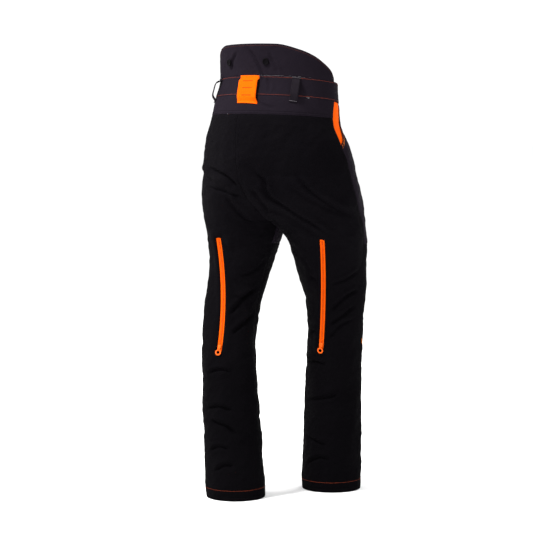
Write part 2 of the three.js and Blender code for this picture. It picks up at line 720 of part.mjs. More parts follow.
// A round button turned from [radius, height]: a dished head on a short shank.
const BUTTON = [[0, 0.4], [3, 0.4], [3, 2], [9, 2], [9, 3.4], [7.6, 4.4], [6, 3.6], [0, 3.6]];

function buttonGeometry(degrees, z) {
  const profile = BUTTON.map(([radius, height]) => new THREE.Vector2(radius, height));
  const geometry = new THREE.LatheGeometry(profile, 12);
  geometry.applyMatrix4(new THREE.Matrix4().makeRotationX(RIGHT));
  geometry.applyMatrix4(waistFrame(z, degrees, z + 10));
  return welded(geometry);
}

function addBands() {
  const band = { low: WAIST_LOW, high: WAIST_TOP, outer: 0, thickness: BAND_SHELL };
  addPiece('waistband_rear', waistBand(band), greyCanvas);
  const lining = {
    low: WAIST_LOW + BAND_INSET,
    high: WAIST_TOP - BAND_INSET,
    outer: BAND_SHELL + 3 * SEAM_GAP,
    thickness: LINING,
  };
  addPiece('waistband_lining', waistBand(lining), darkMesh);
  addPiece('waistband_front_left', frontBand('left'), greyCanvas);
  addPiece('waistband_front_right', frontBand('right'), greyCanvas);
  const yoke = {
    low: YOKE + SEAM_GAP / 2, high: WAIST_LOW - SEAM_GAP, outer: 0, thickness: SHELL, place: yokePoint,
  };
  addPiece('rear_yoke', waistBand(yoke), greyCanvas);
  addPiece('kidney_flap_outer', flapLayer(0, SHELL), greyCanvas);
  addPiece('kidney_flap_lining', flapLayer(SHELL + SEAM_GAP, FLAP_LINING), darkMesh);
}

function addWaistTrim() {
  const label = { degrees: 0, low: LABEL_LOW, high: WAIST_TOP, width: 54, standOff: 6.5, thickness: 1.6 };
  addPiece('rear_label', beltLoop(label), orangeTape);
  addPiece('waist_button', buttonGeometry(WAIST_BUTTON_TURN, (WAIST_LOW + WAIST_TOP) / 2), gunmetal);
  for (const [half, side] of Object.entries(HALVES)) {
    for (const [place, degrees] of Object.entries(LOOP_TURNS)) {
      addPiece(`${half}_${place}_belt_loop`, webbingLoop(degrees * side), darkWebbing);
    }
    const rearButton = buttonGeometry(REAR_BUTTON_TURN[half], REAR_BUTTON_HEIGHT);
    addPiece(`${half}_rear_brace_button`, rearButton, blackPlastic);
    for (const [place, degrees] of Object.entries(BUTTON_TURNS)) {
      addPiece(`${half}_${place}_brace_button`, buttonGeometry(degrees * side, BUTTON_HEIGHT), blackPlastic);
    }
  }
}

// ---------- assembly ----------

for (const half of Object.keys(HALVES)) {
  addPiece(`${half}_back_panel`, backPanel(half), blackStretch);
  addPiece(`${half}_hip_panel`, frontPanel(half, WAIST_LOW, KNEE_TOP), greyCanvas);
  addPiece(`${half}_knee_panel`, frontPanel(half, KNEE_TOP, KNEE_BOTTOM), blackStretch);
  addPiece(`${half}_shin_panel`, frontPanel(half, KNEE_BOTTOM, 0), blackStretch);
  addPiece(`${half}_cut_pad`, frontLayer(half, PAD_OUTER, PAD), whiteFibre);
  addPiece(`${half}_pad_lining`, frontLayer(half, LINING_OUTER, LINING), darkMesh);
  addPiece(`${half}_hem_facing`, hemFacing(half), blackStretch);
  addPiece(`${half}_pocket_facing`, pocketFacing(half), orangeTape);
  addPiece(`${half}_pocket_bag`, pocketBag(half), darkMesh);
  addVent(half);
}
addBands();
addWaistTrim();
addFly();

export default model;
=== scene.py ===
"""Chainsaw protective trousers: cloth, trim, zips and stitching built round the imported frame."""

import math

import bpy
import numpy as np
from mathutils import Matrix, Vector


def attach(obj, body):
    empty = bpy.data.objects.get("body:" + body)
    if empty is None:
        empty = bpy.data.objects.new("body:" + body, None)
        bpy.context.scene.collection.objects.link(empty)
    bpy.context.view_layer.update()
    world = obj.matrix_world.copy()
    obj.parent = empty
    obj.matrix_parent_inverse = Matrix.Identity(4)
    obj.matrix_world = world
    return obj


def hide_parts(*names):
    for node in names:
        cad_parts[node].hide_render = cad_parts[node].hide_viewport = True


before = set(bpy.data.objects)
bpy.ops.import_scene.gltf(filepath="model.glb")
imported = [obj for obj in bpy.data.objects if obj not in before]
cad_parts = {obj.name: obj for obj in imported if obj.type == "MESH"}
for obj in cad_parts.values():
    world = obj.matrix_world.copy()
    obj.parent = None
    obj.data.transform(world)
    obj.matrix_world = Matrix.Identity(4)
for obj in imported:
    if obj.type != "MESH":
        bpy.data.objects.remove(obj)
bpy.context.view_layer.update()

# ---------------------------------------------------------------- driving sizes, millimetres
MM = 0.001
ORIGIN_Y = 29.6
SEAM_GAP = 0.3
SEAT_GAP = 0.02            # half the gap between the two halves at the seat seam and the fly
SHELL = 1.6
CROTCH = 716
SEAT_BLEND = 60            # how far below the crotch a leg's depth runs into the seat's
SEAT = 836
YOKE = 991
WAIST_LOW = 1038
WAIST_TOP = 1088
HEM_TURN = 28
KNEE_TOP = 656
KNEE_BOTTOM = 327
PAD_TOP = 906
PAD_BOTTOM = 46
VENT_TOP = 671
VENT_BOTTOM = 381
FLY_TOP = 1031
FLY_BOTTOM = 888
FLY_HALF_SLOT = 9
POCKET_FOOT = 916
FRONT_DROP = 28
FRONT_DROP_START = 836
FRONT_DROP_END = 1056
SIDE_SEAM_ANGLE = -10
HALVES = {"left": 1, "right": -1}

# [height, value] stations, the same as the frame's.
HALF_WIDTH = [(716, 206), (836, 212), (916, 203), (991, 180), (1038, 176), (1088, 171), (1190, 170)]
BACK_DEPTH = [(716, 118), (836, 160), (916, 168), (991, 160), (1038, 141), (1088, 117), (1190, 126)]
FRONT_DEPTH = [(716, 112), (806, 132), (876, 132), (960, 120), (1038, 114), (1088, 121), (1190, 116)]
LEG_RADIUS = {
    "left": [(0, 76), (216, 74), (316, 71), (400, 70), (480, 72), (560, 76), (606, 82), (656, 92),
             (716, 103)],
    "right": [(0, 78), (216, 75), (316, 73), (440, 72), (480, 74), (560, 84), (606, 90), (656, 97),
              (716, 103)],
}
LEG_DEPTH_SHARE = [(0, 1), (480, 1), (606, 1.06), (716, 1.12)]
LEG_MIDDLE = [(0, 100), (636, 104), (716, 103)]
STANCE_X = {
    "left": [(0, -38), (316, -6), (496, 18), (616, 5), (716, 0), (966, 0)],
    "right": [(0, 46), (316, 34), (496, 15), (616, 8), (716, 0), (966, 0)],
}
STANCE_Y = {
    "left": [(0, 98), (316, 84), (496, 42), (616, 18), (716, 8), (966, 0)],
    "right": [(0, -156), (316, -148), (496, -128), (616, -95), (716, -62), (836, -25), (966, 0)],
}
SEAM_TWIST = {
    "left": [(0, 20), (381, 24), (526, 12), (671, 3), (780, 4), (880, 10), (935, 13), (985, 11),
             (1040, 4)],
    "right": [(0, -6), (381, -8), (526, -7), (671, -12), (780, 4), (880, 10), (935, 13), (985, 11),
              (1040, 4)],
}
VENT_PLACE = {
    "left": [(381, 0.5), (466, 0.55), (526, 0.552), (600, 0.515), (671, 0.51)],
    "right": [(381, 0.53), (455, 0.52), (526, 0.48), (600, 0.45), (671, 0.397)],
}
FLAP_HEIGHTS = [(0, 79), (28, 79), (51, 68), (68, 54), (79, 40), (91, 24), (100, 5)]
POCKET_MOUTH = [(916, 0), (934, 0.085), (1035, 0.3)]      # the mouth's share of the front's width


# ---------------------------------------------------------------- the body's surface
def smooth(value):
    t = np.clip(value, 0.0, 1.0)
    return t * t * (3 - 2 * t)


def along(stations, height):
    """A smooth curve through (height, value) stations that never overshoots them."""
    zs, vs = np.array(stations, float).T
    rise = np.diff(vs) / np.diff(zs)
    slope = np.zeros(len(zs))
    same_way = rise[:-1] * rise[1:] > 0
    total = np.where(same_way, rise[:-1] + rise[1:], 1.0)
    slope[1:-1] = np.where(same_way, 2 * rise[:-1] * rise[1:] / total, 0)
    slope[0] = rise[0]
    slope[-1] = rise[-1]
    z = np.clip(height, zs[0], zs[-1])
    i = np.clip(np.searchsorted(zs, z) - 1, 0, len(zs) - 2)
    span = zs[i + 1] - zs[i]
    t = (z - zs[i]) / span
    u = 1 - t
    return ((1 + 2 * t) * u * u * vs[i] + t * u * u * span * slope[i]
            + t * t * (3 - 2 * t) * vs[i + 1] - t * t * u * span * slope[i + 1])


def end_angle(z):
    curve = math.pi / 2 + np.arcsin(np.clip((SEAT - z) / (SEAT - CROTCH), 0, 1))
    return np.where(z >= SEAT, math.pi / 2, np.where(z <= CROTCH, math.pi, curve))


def loop_point(half, z, beta):
    """The smooth body surface. beta is 0 at the outer side, +90 degrees at the back and -90 at the front."""
    z, beta = np.broadcast_arrays(np.asarray(z, float), np.asarray(beta, float))
    side = HALVES[half]
    half_width = along(HALF_WIDTH, z)
    top_radius = LEG_RADIUS[half][-1][1]
    top_share = LEG_DEPTH_SHARE[-1][1]
    at_crotch = np.where(beta > 0, BACK_DEPTH[0][1], FRONT_DEPTH[0][1])
    depth = np.where(beta > 0, along(BACK_DEPTH, z), along(FRONT_DEPTH, z))
    upper_radius = half_width / (1 - np.cos(end_angle(z)))
    leg = z < CROTCH
    radius = np.where(leg, along(LEG_RADIUS[half], z), upper_radius)
    middle = np.where(leg, along(LEG_MIDDLE, z), half_width - upper_radius)
    seat_blend = smooth((z - (CROTCH - SEAT_BLEND)) / SEAT_BLEND)
    leg_depth = radius * along(LEG_DEPTH_SHARE, z) + (at_crotch - top_radius * top_share) * seat_blend
    depth = np.where(leg, leg_depth, depth)
    x = middle + radius * np.cos(beta)
    y = depth * np.sin(beta)
    weight = smooth((x + np.maximum(0, CROTCH + 20 - z) * 0.8) / 90)
    drop = FRONT_DROP * smooth((z - FRONT_DROP_START) / (FRONT_DROP_END - FRONT_DROP_START))
    return np.stack([
        side * (x + SEAT_GAP) + along(STANCE_X[half], z) * weight,
        ORIGIN_Y + y + along(STANCE_Y[half], z) * weight,
        z - drop * (1 - np.sin(beta)) / 2,
    ], -1)


def outward(half, z, beta):
    step = 0.01
    tangent = loop_point(half, z, beta + step) - loop_point(half, z, beta - step)
    normal = np.stack([tangent[..., 1], -tangent[..., 0], 0 * tangent[..., 0]], -1) * HALVES[half]
    return normal / np.linalg.norm(normal, axis=-1, keepdims=True)


def side_seam(half, z):
    return np.radians(SIDE_SEAM_ANGLE + along(SEAM_TWIST[half], z))


def inseam(half, z):
    return end_angle(z) + np.radians(along(SEAM_TWIST[half], z)) * smooth((CROTCH - z) / 150)


def back_beta(half, z, share):
    start = side_seam(half, z)
    return start + (inseam(half, z) - start) * share


def front_beta(half, z, share):
    start = side_seam(half, z)
    end = np.where(z < CROTCH, inseam(half, z) - 2 * math.pi, -end_angle(z))
    return start + (end - start) * share


# ---------------------------------------------------------------- folds
# Each fold: half, height and half-width in millimetres, then its line as (beta in degrees, height).
# A positive height is a crest with a hollow along its lower side, a negative one is a crease.
FOLDS = [
    ("right", 5.5, 16, [(92, 796), (96, 772), (84, 742), (54, 700), (28, 668)]),
    ("right", 4.0, 15, [(58, 838), (50, 812), (40, 790), (20, 763), (-10, 742)]),
    ("right", -4.6, 8, [(86, 875), (76, 832), (86, 800), (90, 773), (76, 734), (59, 707), (38, 677)]),
    ("right", -4.0, 8, [(50, 851), (47, 806), (37, 776), (23, 752), (2, 728)]),
    ("right", -4.4, 8, [(98, 806), (99, 791), (112, 752), (134, 716), (136, 695)]),
    ("left", -4.2, 7, [(53, 857), (72, 842), (88, 824), (104, 804)]),
    ("left", -3.4, 7, [(58, 806), (84, 797), (100, 788), (113, 785)]),
    ("left", 4.0, 13, [(30, 862), (48, 846), (80, 822), (96, 808)]),
    ("left", -4.0, 10, [(92, 790), (112, 750), (140, 712)]),
    ("left", -3.2, 7, [(80, 668), (97, 656), (112, 632)]),
    ("left", -2.8, 7, [(130, 572), (161, 587), (184, 622)]),
    ("left", -2.6, 7, [(126, 518), (154, 518), (182, 540)]),
    ("left", -4.0, 8, [(122, 464), (141, 497), (163, 527), (190, 550)]),
    ("left", -3.6, 7, [(134, 422), (157, 446), (190, 478)]),
    ("left", -3.0, 6, [(76, 320), (112, 335), (136, 328)]),
    ("left", -3.4, 7, [(68, 230), (106, 240), (137, 228)]),
    ("left", -4.2, 8, [(84, 204), (99, 198), (123, 188), (142, 162)]),
    ("left", -3.0, 6, [(74, 122), (102, 138), (124, 130)]),
    ("left", -3.2, 7, [(84, 70), (113, 92), (132, 88)]),
    ("right", -3.2, 7, [(98, 578), (82, 562), (73, 530)]),
    ("right", -2.8, 7, [(102, 632), (92, 600), (97, 555)]),
    ("right", -2.8, 7, [(60, 552), (30, 566), (-6, 592)]),
    ("right", -4.0, 8, [(68, 474), (33, 518), (-2, 540)]),
    ("right", -3.6, 7, [(70, 440), (38, 470), (4, 499)]),
    ("right", -3.2, 7, [(74, 398), (43, 443), (4, 463)]),
    ("right", -3.0, 6, [(126, 417), (93, 431), (82, 445)]),
    ("right", -3.2, 6, [(134, 340), (96, 345), (68, 337)]),
    ("right", -2.8, 7, [(124, 238), (69, 251), (40, 264)]),
    ("right", -3.0, 7, [(120, 148), (89, 134), (62, 124)]),
    ("right", -2.8, 7, [(116, 62), (82, 90), (52, 86)]),
    ("right", -3.0, 7, [(93, 1164), (85, 1140), (80, 1115), (76, 1085), (75, 1066)]),
    ("right", -1.8, 6, [(70, 1150), (65, 1120), (60, 1092)]),
    ("right", -1.8, 6, [(73, 1084), (68, 1066), (66, 1044)]),
    ("right", -1.6, 6, [(80, 1034), (70, 1016), (56, 1004)]),
    ("left", -1.8, 6, [(78, 1150), (70, 1126), (68, 1100)]),
    ("left", 3.5, 14, [(-150, 690), (-120, 716), (-96, 752), (-70, 778), (-40, 790)]),
    ("right", 4.0, 14, [(-150, 700), (-124, 722), (-100, 752), (-72, 780), (-40, 800)]),
    ("left", -3.0, 9, [(-140, 672), (-112, 692), (-84, 720), (-50, 742)]),
    ("right", -3.0, 9, [(-140, 676), (-112, 700), (-84, 728), (-50, 752)]),
    ("left", -3.0, 8, [(-150, 470), (-110, 456), (-70, 462), (-30, 480)]),
    ("right", -3.0, 8, [(-150, 480), (-110, 466), (-70, 470), (-30, 488)]),
    ("left", -2.4, 8, [(-150, 210), (-110, 196), (-60, 204)]),
    ("right", -2.4, 8, [(-150, 200), (-110, 188), (-60, 198)]),
]


def spline(points, count):
    """Catmull-Rom points through a short list of points."""
    p = np.array(points, float)
    padded = np.vstack([2 * p[0] - p[1], p, 2 * p[-1] - p[-2]])
    out = []
    for u in np.linspace(0, len(p) - 1, count):
        i = min(int(u), len(p) - 2)
        t = u - i
        a, b, c, d = padded[i:i + 4]
        out.append(0.5 * (2 * b + (c - a) * t + (2 * a - 5 * b + 4 * c - d) * t ** 2
                          + (3 * b - a - 3 * c + d) * t ** 3))
    return np.array(out)


def traced_fold(half, height, width, line):
    path = spline(line, 4 * len(line))
    return height, width, loop_point(half, path[:, 1], np.radians(path[:, 0]))


TRACED = [traced_fold(*fold) for fold in FOLDS]


def one_fold(points, height, width, path):
    """How far one fold lifts each point."""
    lift = np.zeros(len(points))
    reach = 3.2 * width
    near = np.all((points > path.min(0) - reach) & (points < path.max(0) + reach), axis=1)
    if not near.any():
        return lift
    p = points[near]
    best = np.full(len(p), np.inf)
    share = np.zeros(len(p))
    above = np.zeros(len(p))
    steps = len(path) - 1
    for k in range(steps):
        a = path[k]
        edge = path[k + 1] - a
        t = np.clip((p - a) @ edge / (edge @ edge), 0, 1)
        gap = p - a - t[:, None] * edge
        distance = np.linalg.norm(gap, axis=1)
        closer = distance < best
        best = np.where(closer, distance, best)
        share = np.where(closer, (k + t) / steps, share)
        above = np.where(closer, gap[:, 2], above)
    taper = smooth(share / 0.25) * smooth((1 - share) / 0.25)
    across = best * np.where(above >= 0, 1.0, -1.0) / width
    bulge = np.exp(-across ** 2)
    groove = np.exp(-((across + 1.35) / 0.5) ** 2)
    if height > 0:
        shape = bulge - 1.1 * groove
    else:
        shape = 1.9 * np.exp(-(across / 0.6) ** 2) - 0.8 * np.exp(-((across - 1.5) / 0.9) ** 2)
    lift[near] = height * taper * shape
    return lift


def ripple(points, wavelength, seed, count=9):
    """Smooth, repeatable unevenness between about -1 and 1."""
    rng = np.random.default_rng(seed)
    total = np.zeros(len(points))
    for _ in range(count):
        direction = rng.normal(size=3)
        direction /= np.linalg.norm(direction)
        turn = rng.uniform(0, 2 * math.pi)
        stretch = rng.uniform(0.7, 1.5)
        total += np.sin(points @ direction * 2 * math.pi / (wavelength * stretch) + turn)
    return total / math.sqrt(count)


def cloth_lift(points):
    """Every fold and the general unevenness of worn cloth, in millimetres."""
    lift = np.zeros(len(points))
    for height, width, path in TRACED:
        lift += one_fold(points, height, width, path)
    z = points[:, 2]
    below_waist = smooth((1010 - z) / 90)
    off_floor = smooth(z / 40)
    broad = 1.5 * ripple(points, 150, 3) + 0.8 * ripple(points, 62, 5)
    creased = 1 - np.abs(ripple(points * [1, 1, 1.7], 95, 11, 6))
    small = 0.3 * ripple(points, 21, 7)
    crumpled = 0.75 - np.abs(ripple(points * [1, 1, 1.9], 44, 17, 5))
    worn = (broad + 1.1 * creased + 0.6 * crumpled + small) * (0.35 + 0.65 * off_floor)
    at_waist = 0.6 * ripple(points, 85, 13) + 0.35 * crumpled + 0.25 * small
    return lift * off_floor + worn * below_waist + at_waist * (1 - below_waist)


def cloth(half, z, beta, depth=0.0):
    """The surface of the worn cloth, pushed inward by depth."""
    base = loop_point(half, z, beta)
    normal = outward(half, z, beta)
    flat = base.reshape(-1, 3)
    lift = cloth_lift(flat).reshape(base.shape[:-1])
    return base + normal * (lift - depth)[..., None]


def waist(z, degrees, depth=0.0):
    """The waist, read in degrees from the centre back, positive towards the wearer's left."""
    z, degrees, depth = np.broadcast_arrays(np.asarray(z, float), np.asarray(degrees, float), depth)
    beta = np.radians(90 - np.abs(degrees))
    out = np.empty(z.shape + (3,))
    for half, side in HALVES.items():
        base = loop_point(half, z, beta)
        lift = cloth_lift(base.reshape(-1, 3)).reshape(z.shape)
        part = base + outward(half, z, beta) * (lift - depth)[..., None]
        part[..., 0] -= side * SEAT_GAP
        chosen = degrees >= 0 if side > 0 else degrees < 0
        out[chosen] = part[chosen]
    return out


# ---------------------------------------------------------------- meshes
def new_object(name, mesh, body, material, replaced=()):
    obj = bpy.data.objects.new(name, mesh)
    bpy.context.scene.collection.objects.link(obj)
    obj.data.materials.append(material)
    for polygon in mesh.polygons:
        polygon.use_smooth = True
    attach(obj, body)
    if replaced:
        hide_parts(*replaced)
    return obj


def mesh_from(name, vertices, faces, weave=None, wear=None):
    """A mesh from millimetre points, with its weave coordinates in metres and its wear from 0 to 1."""
    mesh = bpy.data.meshes.new(name)
    mesh.from_pydata((np.asarray(vertices) * MM).tolist(), [], [tuple(int(k) for k in f) for f in faces])
    if weave is not None:
        layer = mesh.attributes.new("weave", "FLOAT_VECTOR", "POINT")
        layer.data.foreach_set("vector", (np.asarray(weave) * MM).astype(np.float32).ravel())
    if wear is not None:
        layer = mesh.attributes.new("wear", "FLOAT", "POINT")
        layer.data.foreach_set("value", np.asarray(wear, np.float32).ravel())
    mesh.validate()
    mesh.update()
    return mesh


def grid_lengths(points):
    """Running length along each row and each column of a grid of points."""
    across = np.linalg.norm(np.diff(points, axis=1), axis=2)
    down = np.linalg.norm(np.diff(points, axis=0), axis=2)
    u = np.concatenate([np.zeros((len(points), 1)), np.cumsum(across, 1)], 1)
    v = np.concatenate([np.zeros((1, points.shape[1])), np.cumsum(down, 0)], 0)
    return u - u.mean(1, keepdims=True), v


def cloth_piece(name, outer, thickness, normal, keep=None, closed=False, edge_roll=0.7, edge_wide=2.4):
    """A closed thin piece from a grid of outer points. Its edges roll in a little, as a sewn edge does."""
    rows, columns = outer.shape[:2]
    u, v = grid_lengths(outer)
    edge = np.minimum(v, v[-1:] - v)
    if not closed:
        edge = np.minimum(edge, np.minimum(u - u[:, :1], u[:, -1:] - u))
    roll = edge_roll * np.exp(-(edge / edge_wide) ** 2)
    top = outer - normal * roll[..., None]
    under = outer - normal * (thickness + 0 * roll)[..., None]
    vertices = np.concatenate([top.reshape(-1, 3), under.reshape(-1, 3)])
    weave = np.stack([u, v, 0 * u], -1).reshape(-1, 3)
    wear = np.exp(-(edge / 7.0) ** 2).ravel()
    cells = columns if closed else columns - 1
    i, j = np.meshgrid(np.arange(rows - 1), np.arange(cells), indexing="ij")
    filled = np.ones((rows - 1, cells), bool) if keep is None else keep
    a = i * columns + j
    b = i * columns + (j + 1) % columns
    quads = np.stack([a, b, b + columns, a + columns], -1)
    kept = quads[filled]
    inner = rows * columns
    faces = [kept, kept[:, ::-1] + inner]
    blank = np.zeros_like(filled[:1])
    above = np.concatenate([blank, filled[:-1]])
    below = np.concatenate([filled[1:], blank])
    if closed:
        before = np.roll(filled, 1, axis=1)
        after = np.roll(filled, -1, axis=1)
    else:
        side = np.zeros((rows - 1, 1), bool)
        before = np.concatenate([side, filled[:, :-1]], 1)
        after = np.concatenate([filled[:, 1:], side], 1)
    for open_side, (p, q) in zip((above, after, below, before), ((0, 1), (1, 2), (2, 3), (3, 0))):
        rim = quads[filled & ~open_side]
        faces.append(np.stack([rim[:, q], rim[:, p], rim[:, p] + inner, rim[:, q] + inner], -1))
    faces = np.concatenate(faces)
    used, fresh = np.unique(faces, return_inverse=True)
    faces = fresh.reshape(faces.shape)
    vertices = vertices[used]
    if signed_volume(vertices, faces) < 0:
        faces = faces[:, ::-1]
    weave = np.concatenate([weave, weave])[used]
    wear = np.concatenate([wear, wear])[used]
    return mesh_from(name, vertices, faces, weave, wear)


def signed_volume(vertices, faces):
    a = vertices[faces[:, 0]]
    total = 0.0
    for k in range(1, faces.shape[1] - 1):
        total += np.einsum("ij,ij->i", a, np.cross(vertices[faces[:, k]], vertices[faces[:, k + 1]])).sum()
    return total


def spread(start, end, step, edges=True):
    """Values from start to end about a step apart, closer together at both ends."""
    count = max(2, int(round(abs(end - start) / step)))
    values = np.linspace(start, end, count + 1)
    if not edges:
        return values
    sign = 1 if end > start else -1
    near = np.array([1.2, 2.6]) * sign
    return np.concatenate([[start], start + near, values[1:-1], end - near[::-1], [end]])


def shares(width, step, marks=()):
    """Shares from 0 to 1 across a width, closer at the ends and at the marks."""
    count = max(3, int(round(width / step)))
    values = list(np.linspace(0, 1, count + 1))
    values += [1.2 / width, 2.6 / width, 1 - 2.6 / width, 1 - 1.2 / width]
    values = [s for s in values if all(abs(s - m) > 0.4 * step / width for m in marks)]
    return np.array(sorted(set(values + list(marks))))


# ---------------------------------------------------------------- materials
class Shader:
    """A small helper that adds nodes to one material."""

    def __init__(self, name):
        self.material = bpy.data.materials.new(name)
        self.material.use_nodes = True
        self.tree = self.material.node_tree
        self.principled = self.tree.nodes["Principled BSDF"]

    def node(self, kind, inputs=(), **settings):
        node = self.tree.nodes.new(kind)
        for key, value in settings.items():
            setattr(node, key, value)
        for key, value in dict(inputs).items():
            if isinstance(value, bpy.types.NodeSocket):
                self.tree.links.new(value, node.inputs[key])
            else:
                node.inputs[key].default_value = value
        return node

    def math(self, operation, a, b=0.0):
        return self.node("ShaderNodeMath", {0: a, 1: b}, operation=operation).outputs[0]

    def mix(self, factor, a, b, blend="MIX"):
        node = self.node("ShaderNodeMix", data_type="RGBA", blend_type=blend)
        for socket, value in ((node.inputs[0], factor), (node.inputs[6], a), (node.inputs[7], b)):
            if isinstance(value, bpy.types.NodeSocket):
                self.tree.links.new(value, socket)
            else:
                socket.default_value = value
        return node.outputs[2]

    def noise(self, vector, scale, detail=3.0, roughness=0.55):
        node = self.node("ShaderNodeTexNoise", {"Vector": vector, "Scale": scale, "Detail": detail,
                                                "Roughness": roughness})
        return node.outputs["Fac"]

    def ramp(self, value, low, high):
        node = self.node("ShaderNodeMapRange", {"Value": value, "From Min": low, "From Max": high})
        return node.outputs["Result"]

    def weave(self):
        return self.node("ShaderNodeAttribute", attribute_name="weave").outputs["Vector"]

    def place(self):
        return self.node("ShaderNodeTexCoord").outputs["Object"]

    def bump(self, height, strength, distance, previous=None):
        inputs = {"Height": height, "Strength": strength, "Distance": distance}
        if previous is not None:
            inputs["Normal"] = previous
        return self.node("ShaderNodeBump", inputs).outputs["Normal"]

    def connect(self, **sockets):
        for name, value in sockets.items():
            socket = self.principled.inputs[name.replace("_", " ")]
            if isinstance(value, bpy.types.NodeSocket):
                self.tree.links.new(value, socket)
            else:
                socket.default_value = value


FIBRE_SCALE = 2600


def rgb(red, green, blue):
    return (red, green, blue, 1.0)


def threads(shader, pitch, twill):
    """Height of a woven surface: warp and weft threads, stepped into diagonal ribs where twill is 1."""
    split = shader.node("ShaderNodeSeparateXYZ", {0: shader.weave()})
    turn = 2 * math.pi / pitch
    u = shader.math("MULTIPLY", split.outputs[0], turn)
    v = shader.math("MULTIPLY", split.outputs[1], turn)
    warp = shader.math("SINE", u)
    weft = shader.math("SINE", v)
    plain = shader.math("MULTIPLY", warp, weft)
    slant = shader.math("SINE", shader.math("MULTIPLY", shader.math("ADD", u, v), 0.5))
    flat_part = shader.math("MULTIPLY", plain, 1 - twill)
    slant_part = shader.math("MULTIPLY", slant, twill)
    return shader.math("ADD", flat_part, slant_part)


def fabric(name, dark, light, pitch, twill=1.0, depth=0.00018, roughness=0.86, worn=0.2, foot=1.0):
    """Woven cloth: thread relief, fine fibres, uneven dye and paler, rubbed edges. foot darkens its foot."""
    shader = Shader(name)
    weave = threads(shader, pitch, twill)
    place = shader.place()
    cloudy = shader.ramp(shader.noise(place, 9.0, 4.0), 0.32, 0.7)
    fibres = shader.noise(place, FIBRE_SCALE, 2.0)
    between = shader.mix(cloudy, rgb(*dark), rgb(*light))
    thread_tint = shader.ramp(weave, -1.6, 1.2)
    coloured = shader.mix(shader.math("MULTIPLY", thread_tint, 0.5), between, rgb(*[c * 1.5 for c in light]))
    rubbed = shader.node("ShaderNodeAttribute", attribute_name="wear").outputs["Fac"]
    patchy = shader.ramp(shader.noise(place, 60.0, 5.0, 0.7), 0.4, 0.75)
    amount = shader.math("MULTIPLY", shader.math("MULTIPLY", rubbed, patchy), worn)
    coloured = shader.mix(amount, coloured, rgb(*[min(1.0, c * 2.2) for c in light]))
    if foot < 1:
        height = shader.node("ShaderNodeSeparateXYZ", {0: place}).outputs[2]
        deeper = shader.node("ShaderNodeMapRange", {"Value": height, "From Min": 0.25, "From Max": 0.75,
                                                    "To Min": 1 - foot, "To Max": 0.0}).outputs["Result"]
        coloured = shader.mix(deeper, coloured, rgb(0, 0, 0))
    rough = shader.math("ADD", shader.math("MULTIPLY", fibres, 0.12), roughness - 0.06)
    normal = shader.bump(weave, 0.55, depth)
    normal = shader.bump(fibres, 0.3, depth * 0.6, normal)
    normal = shader.bump(shader.noise(place, 140.0, 4.0, 0.6), 0.22, 0.0006, normal)
    shader.connect(Base_Color=coloured, Roughness=rough, Normal=normal, Specular_IOR_Level=0.012)
    return shader.material


def thread_material(name, dark, light):
    """Twisted sewing thread."""
    shader = Shader(name)
    place = shader.place()
    tint = shader.mix(shader.noise(place, 700.0, 3.0), rgb(*dark), rgb(*light))
    normal = shader.bump(shader.noise(place, 5200.0, 2.0), 0.5, 0.0001)
    shader.connect(Base_Color=tint, Roughness=0.62, Normal=normal, Specular_IOR_Level=0.02)
    return shader.material


def moulded(name, dark, light, roughness, metallic=0.0, gloss=0.5):
    """Moulded plastic or plated metal with fine marks."""
    shader = Shader(name)
    place = shader.place()
    tint = shader.mix(shader.ramp(shader.noise(place, 220.0, 4.0), 0.35, 0.7), rgb(*dark), rgb(*light))
    rough = shader.math("ADD", shader.math("MULTIPLY", shader.noise(place, 900.0, 4.0, 0.7), 0.25), roughness)
    normal = shader.bump(shader.noise(place, 1600.0, 3.0), 0.18, 0.0001)
    shader.connect(Base_Color=tint, Roughness=rough, Metallic=metallic, Normal=normal,
                   Specular_IOR_Level=gloss)
    return shader.material


BLACK_STRETCH = fabric("black_stretch_cloth", (0.0017, 0.0014, 0.0020), (0.0026, 0.0022, 0.0029), 0.0011,
                       foot=0.62)
GREY_CANVAS = fabric("grey_canvas_cloth", (0.0056, 0.0041, 0.0064), (0.0082, 0.0062, 0.0092), 0.0015,
                     twill=0.25)
ORANGE_TAPE = fabric("orange_woven_tape", (0.60, 0.066, 0.0008), (0.72, 0.084, 0.0012), 0.0009, twill=0.6,
                     worn=0.05, roughness=0.8)
ORANGE_PATCH = fabric("orange_label_cloth", (0.54, 0.062, 0.0004), (0.62, 0.076, 0.0006), 0.0007, twill=0.0,
                      worn=0.1, roughness=0.75)
DARK_WEBBING = fabric("dark_webbing", (0.0062, 0.0048, 0.0068), (0.0098, 0.0078, 0.0104), 0.0018, twill=0.85)
DARK_MESH = fabric("dark_knit_lining", (0.010, 0.009, 0.011), (0.020, 0.018, 0.021), 0.0024, twill=0.0,
                   depth=0.0004)
WHITE_FIBRE = fabric("white_fibre_knit", (0.50, 0.48, 0.43), (0.62, 0.60, 0.55), 0.0030, twill=0.1,
                     depth=0.0005, worn=0.1)
EDGE_BINDING = fabric("black_binding", (0.005, 0.004, 0.005), (0.009, 0.0075, 0.009), 0.0010, twill=0.9)
ORANGE_THREAD = thread_material("dull_orange_thread", (0.17, 0.030, 0.014), (0.28, 0.052, 0.022))
BRIGHT_THREAD = thread_material("bright_orange_thread", (0.80, 0.17, 0.01), (1.0, 0.26, 0.02))
RUST_THREAD = thread_material("rust_thread", (0.055, 0.018, 0.013), (0.095, 0.028, 0.018))
DARK_THREAD = thread_material("dark_thread", (0.0020, 0.0016, 0.0022), (0.0036, 0.0030, 0.0038))
PALE_THREAD = thread_material("pale_grey_thread", (0.09, 0.082, 0.09), (0.17, 0.155, 0.17))
BLACK_PLASTIC = moulded("black_moulded_button", (0.0016, 0.0012, 0.0017), (0.0028, 0.0022, 0.0029), 0.45,
                        gloss=0.02)
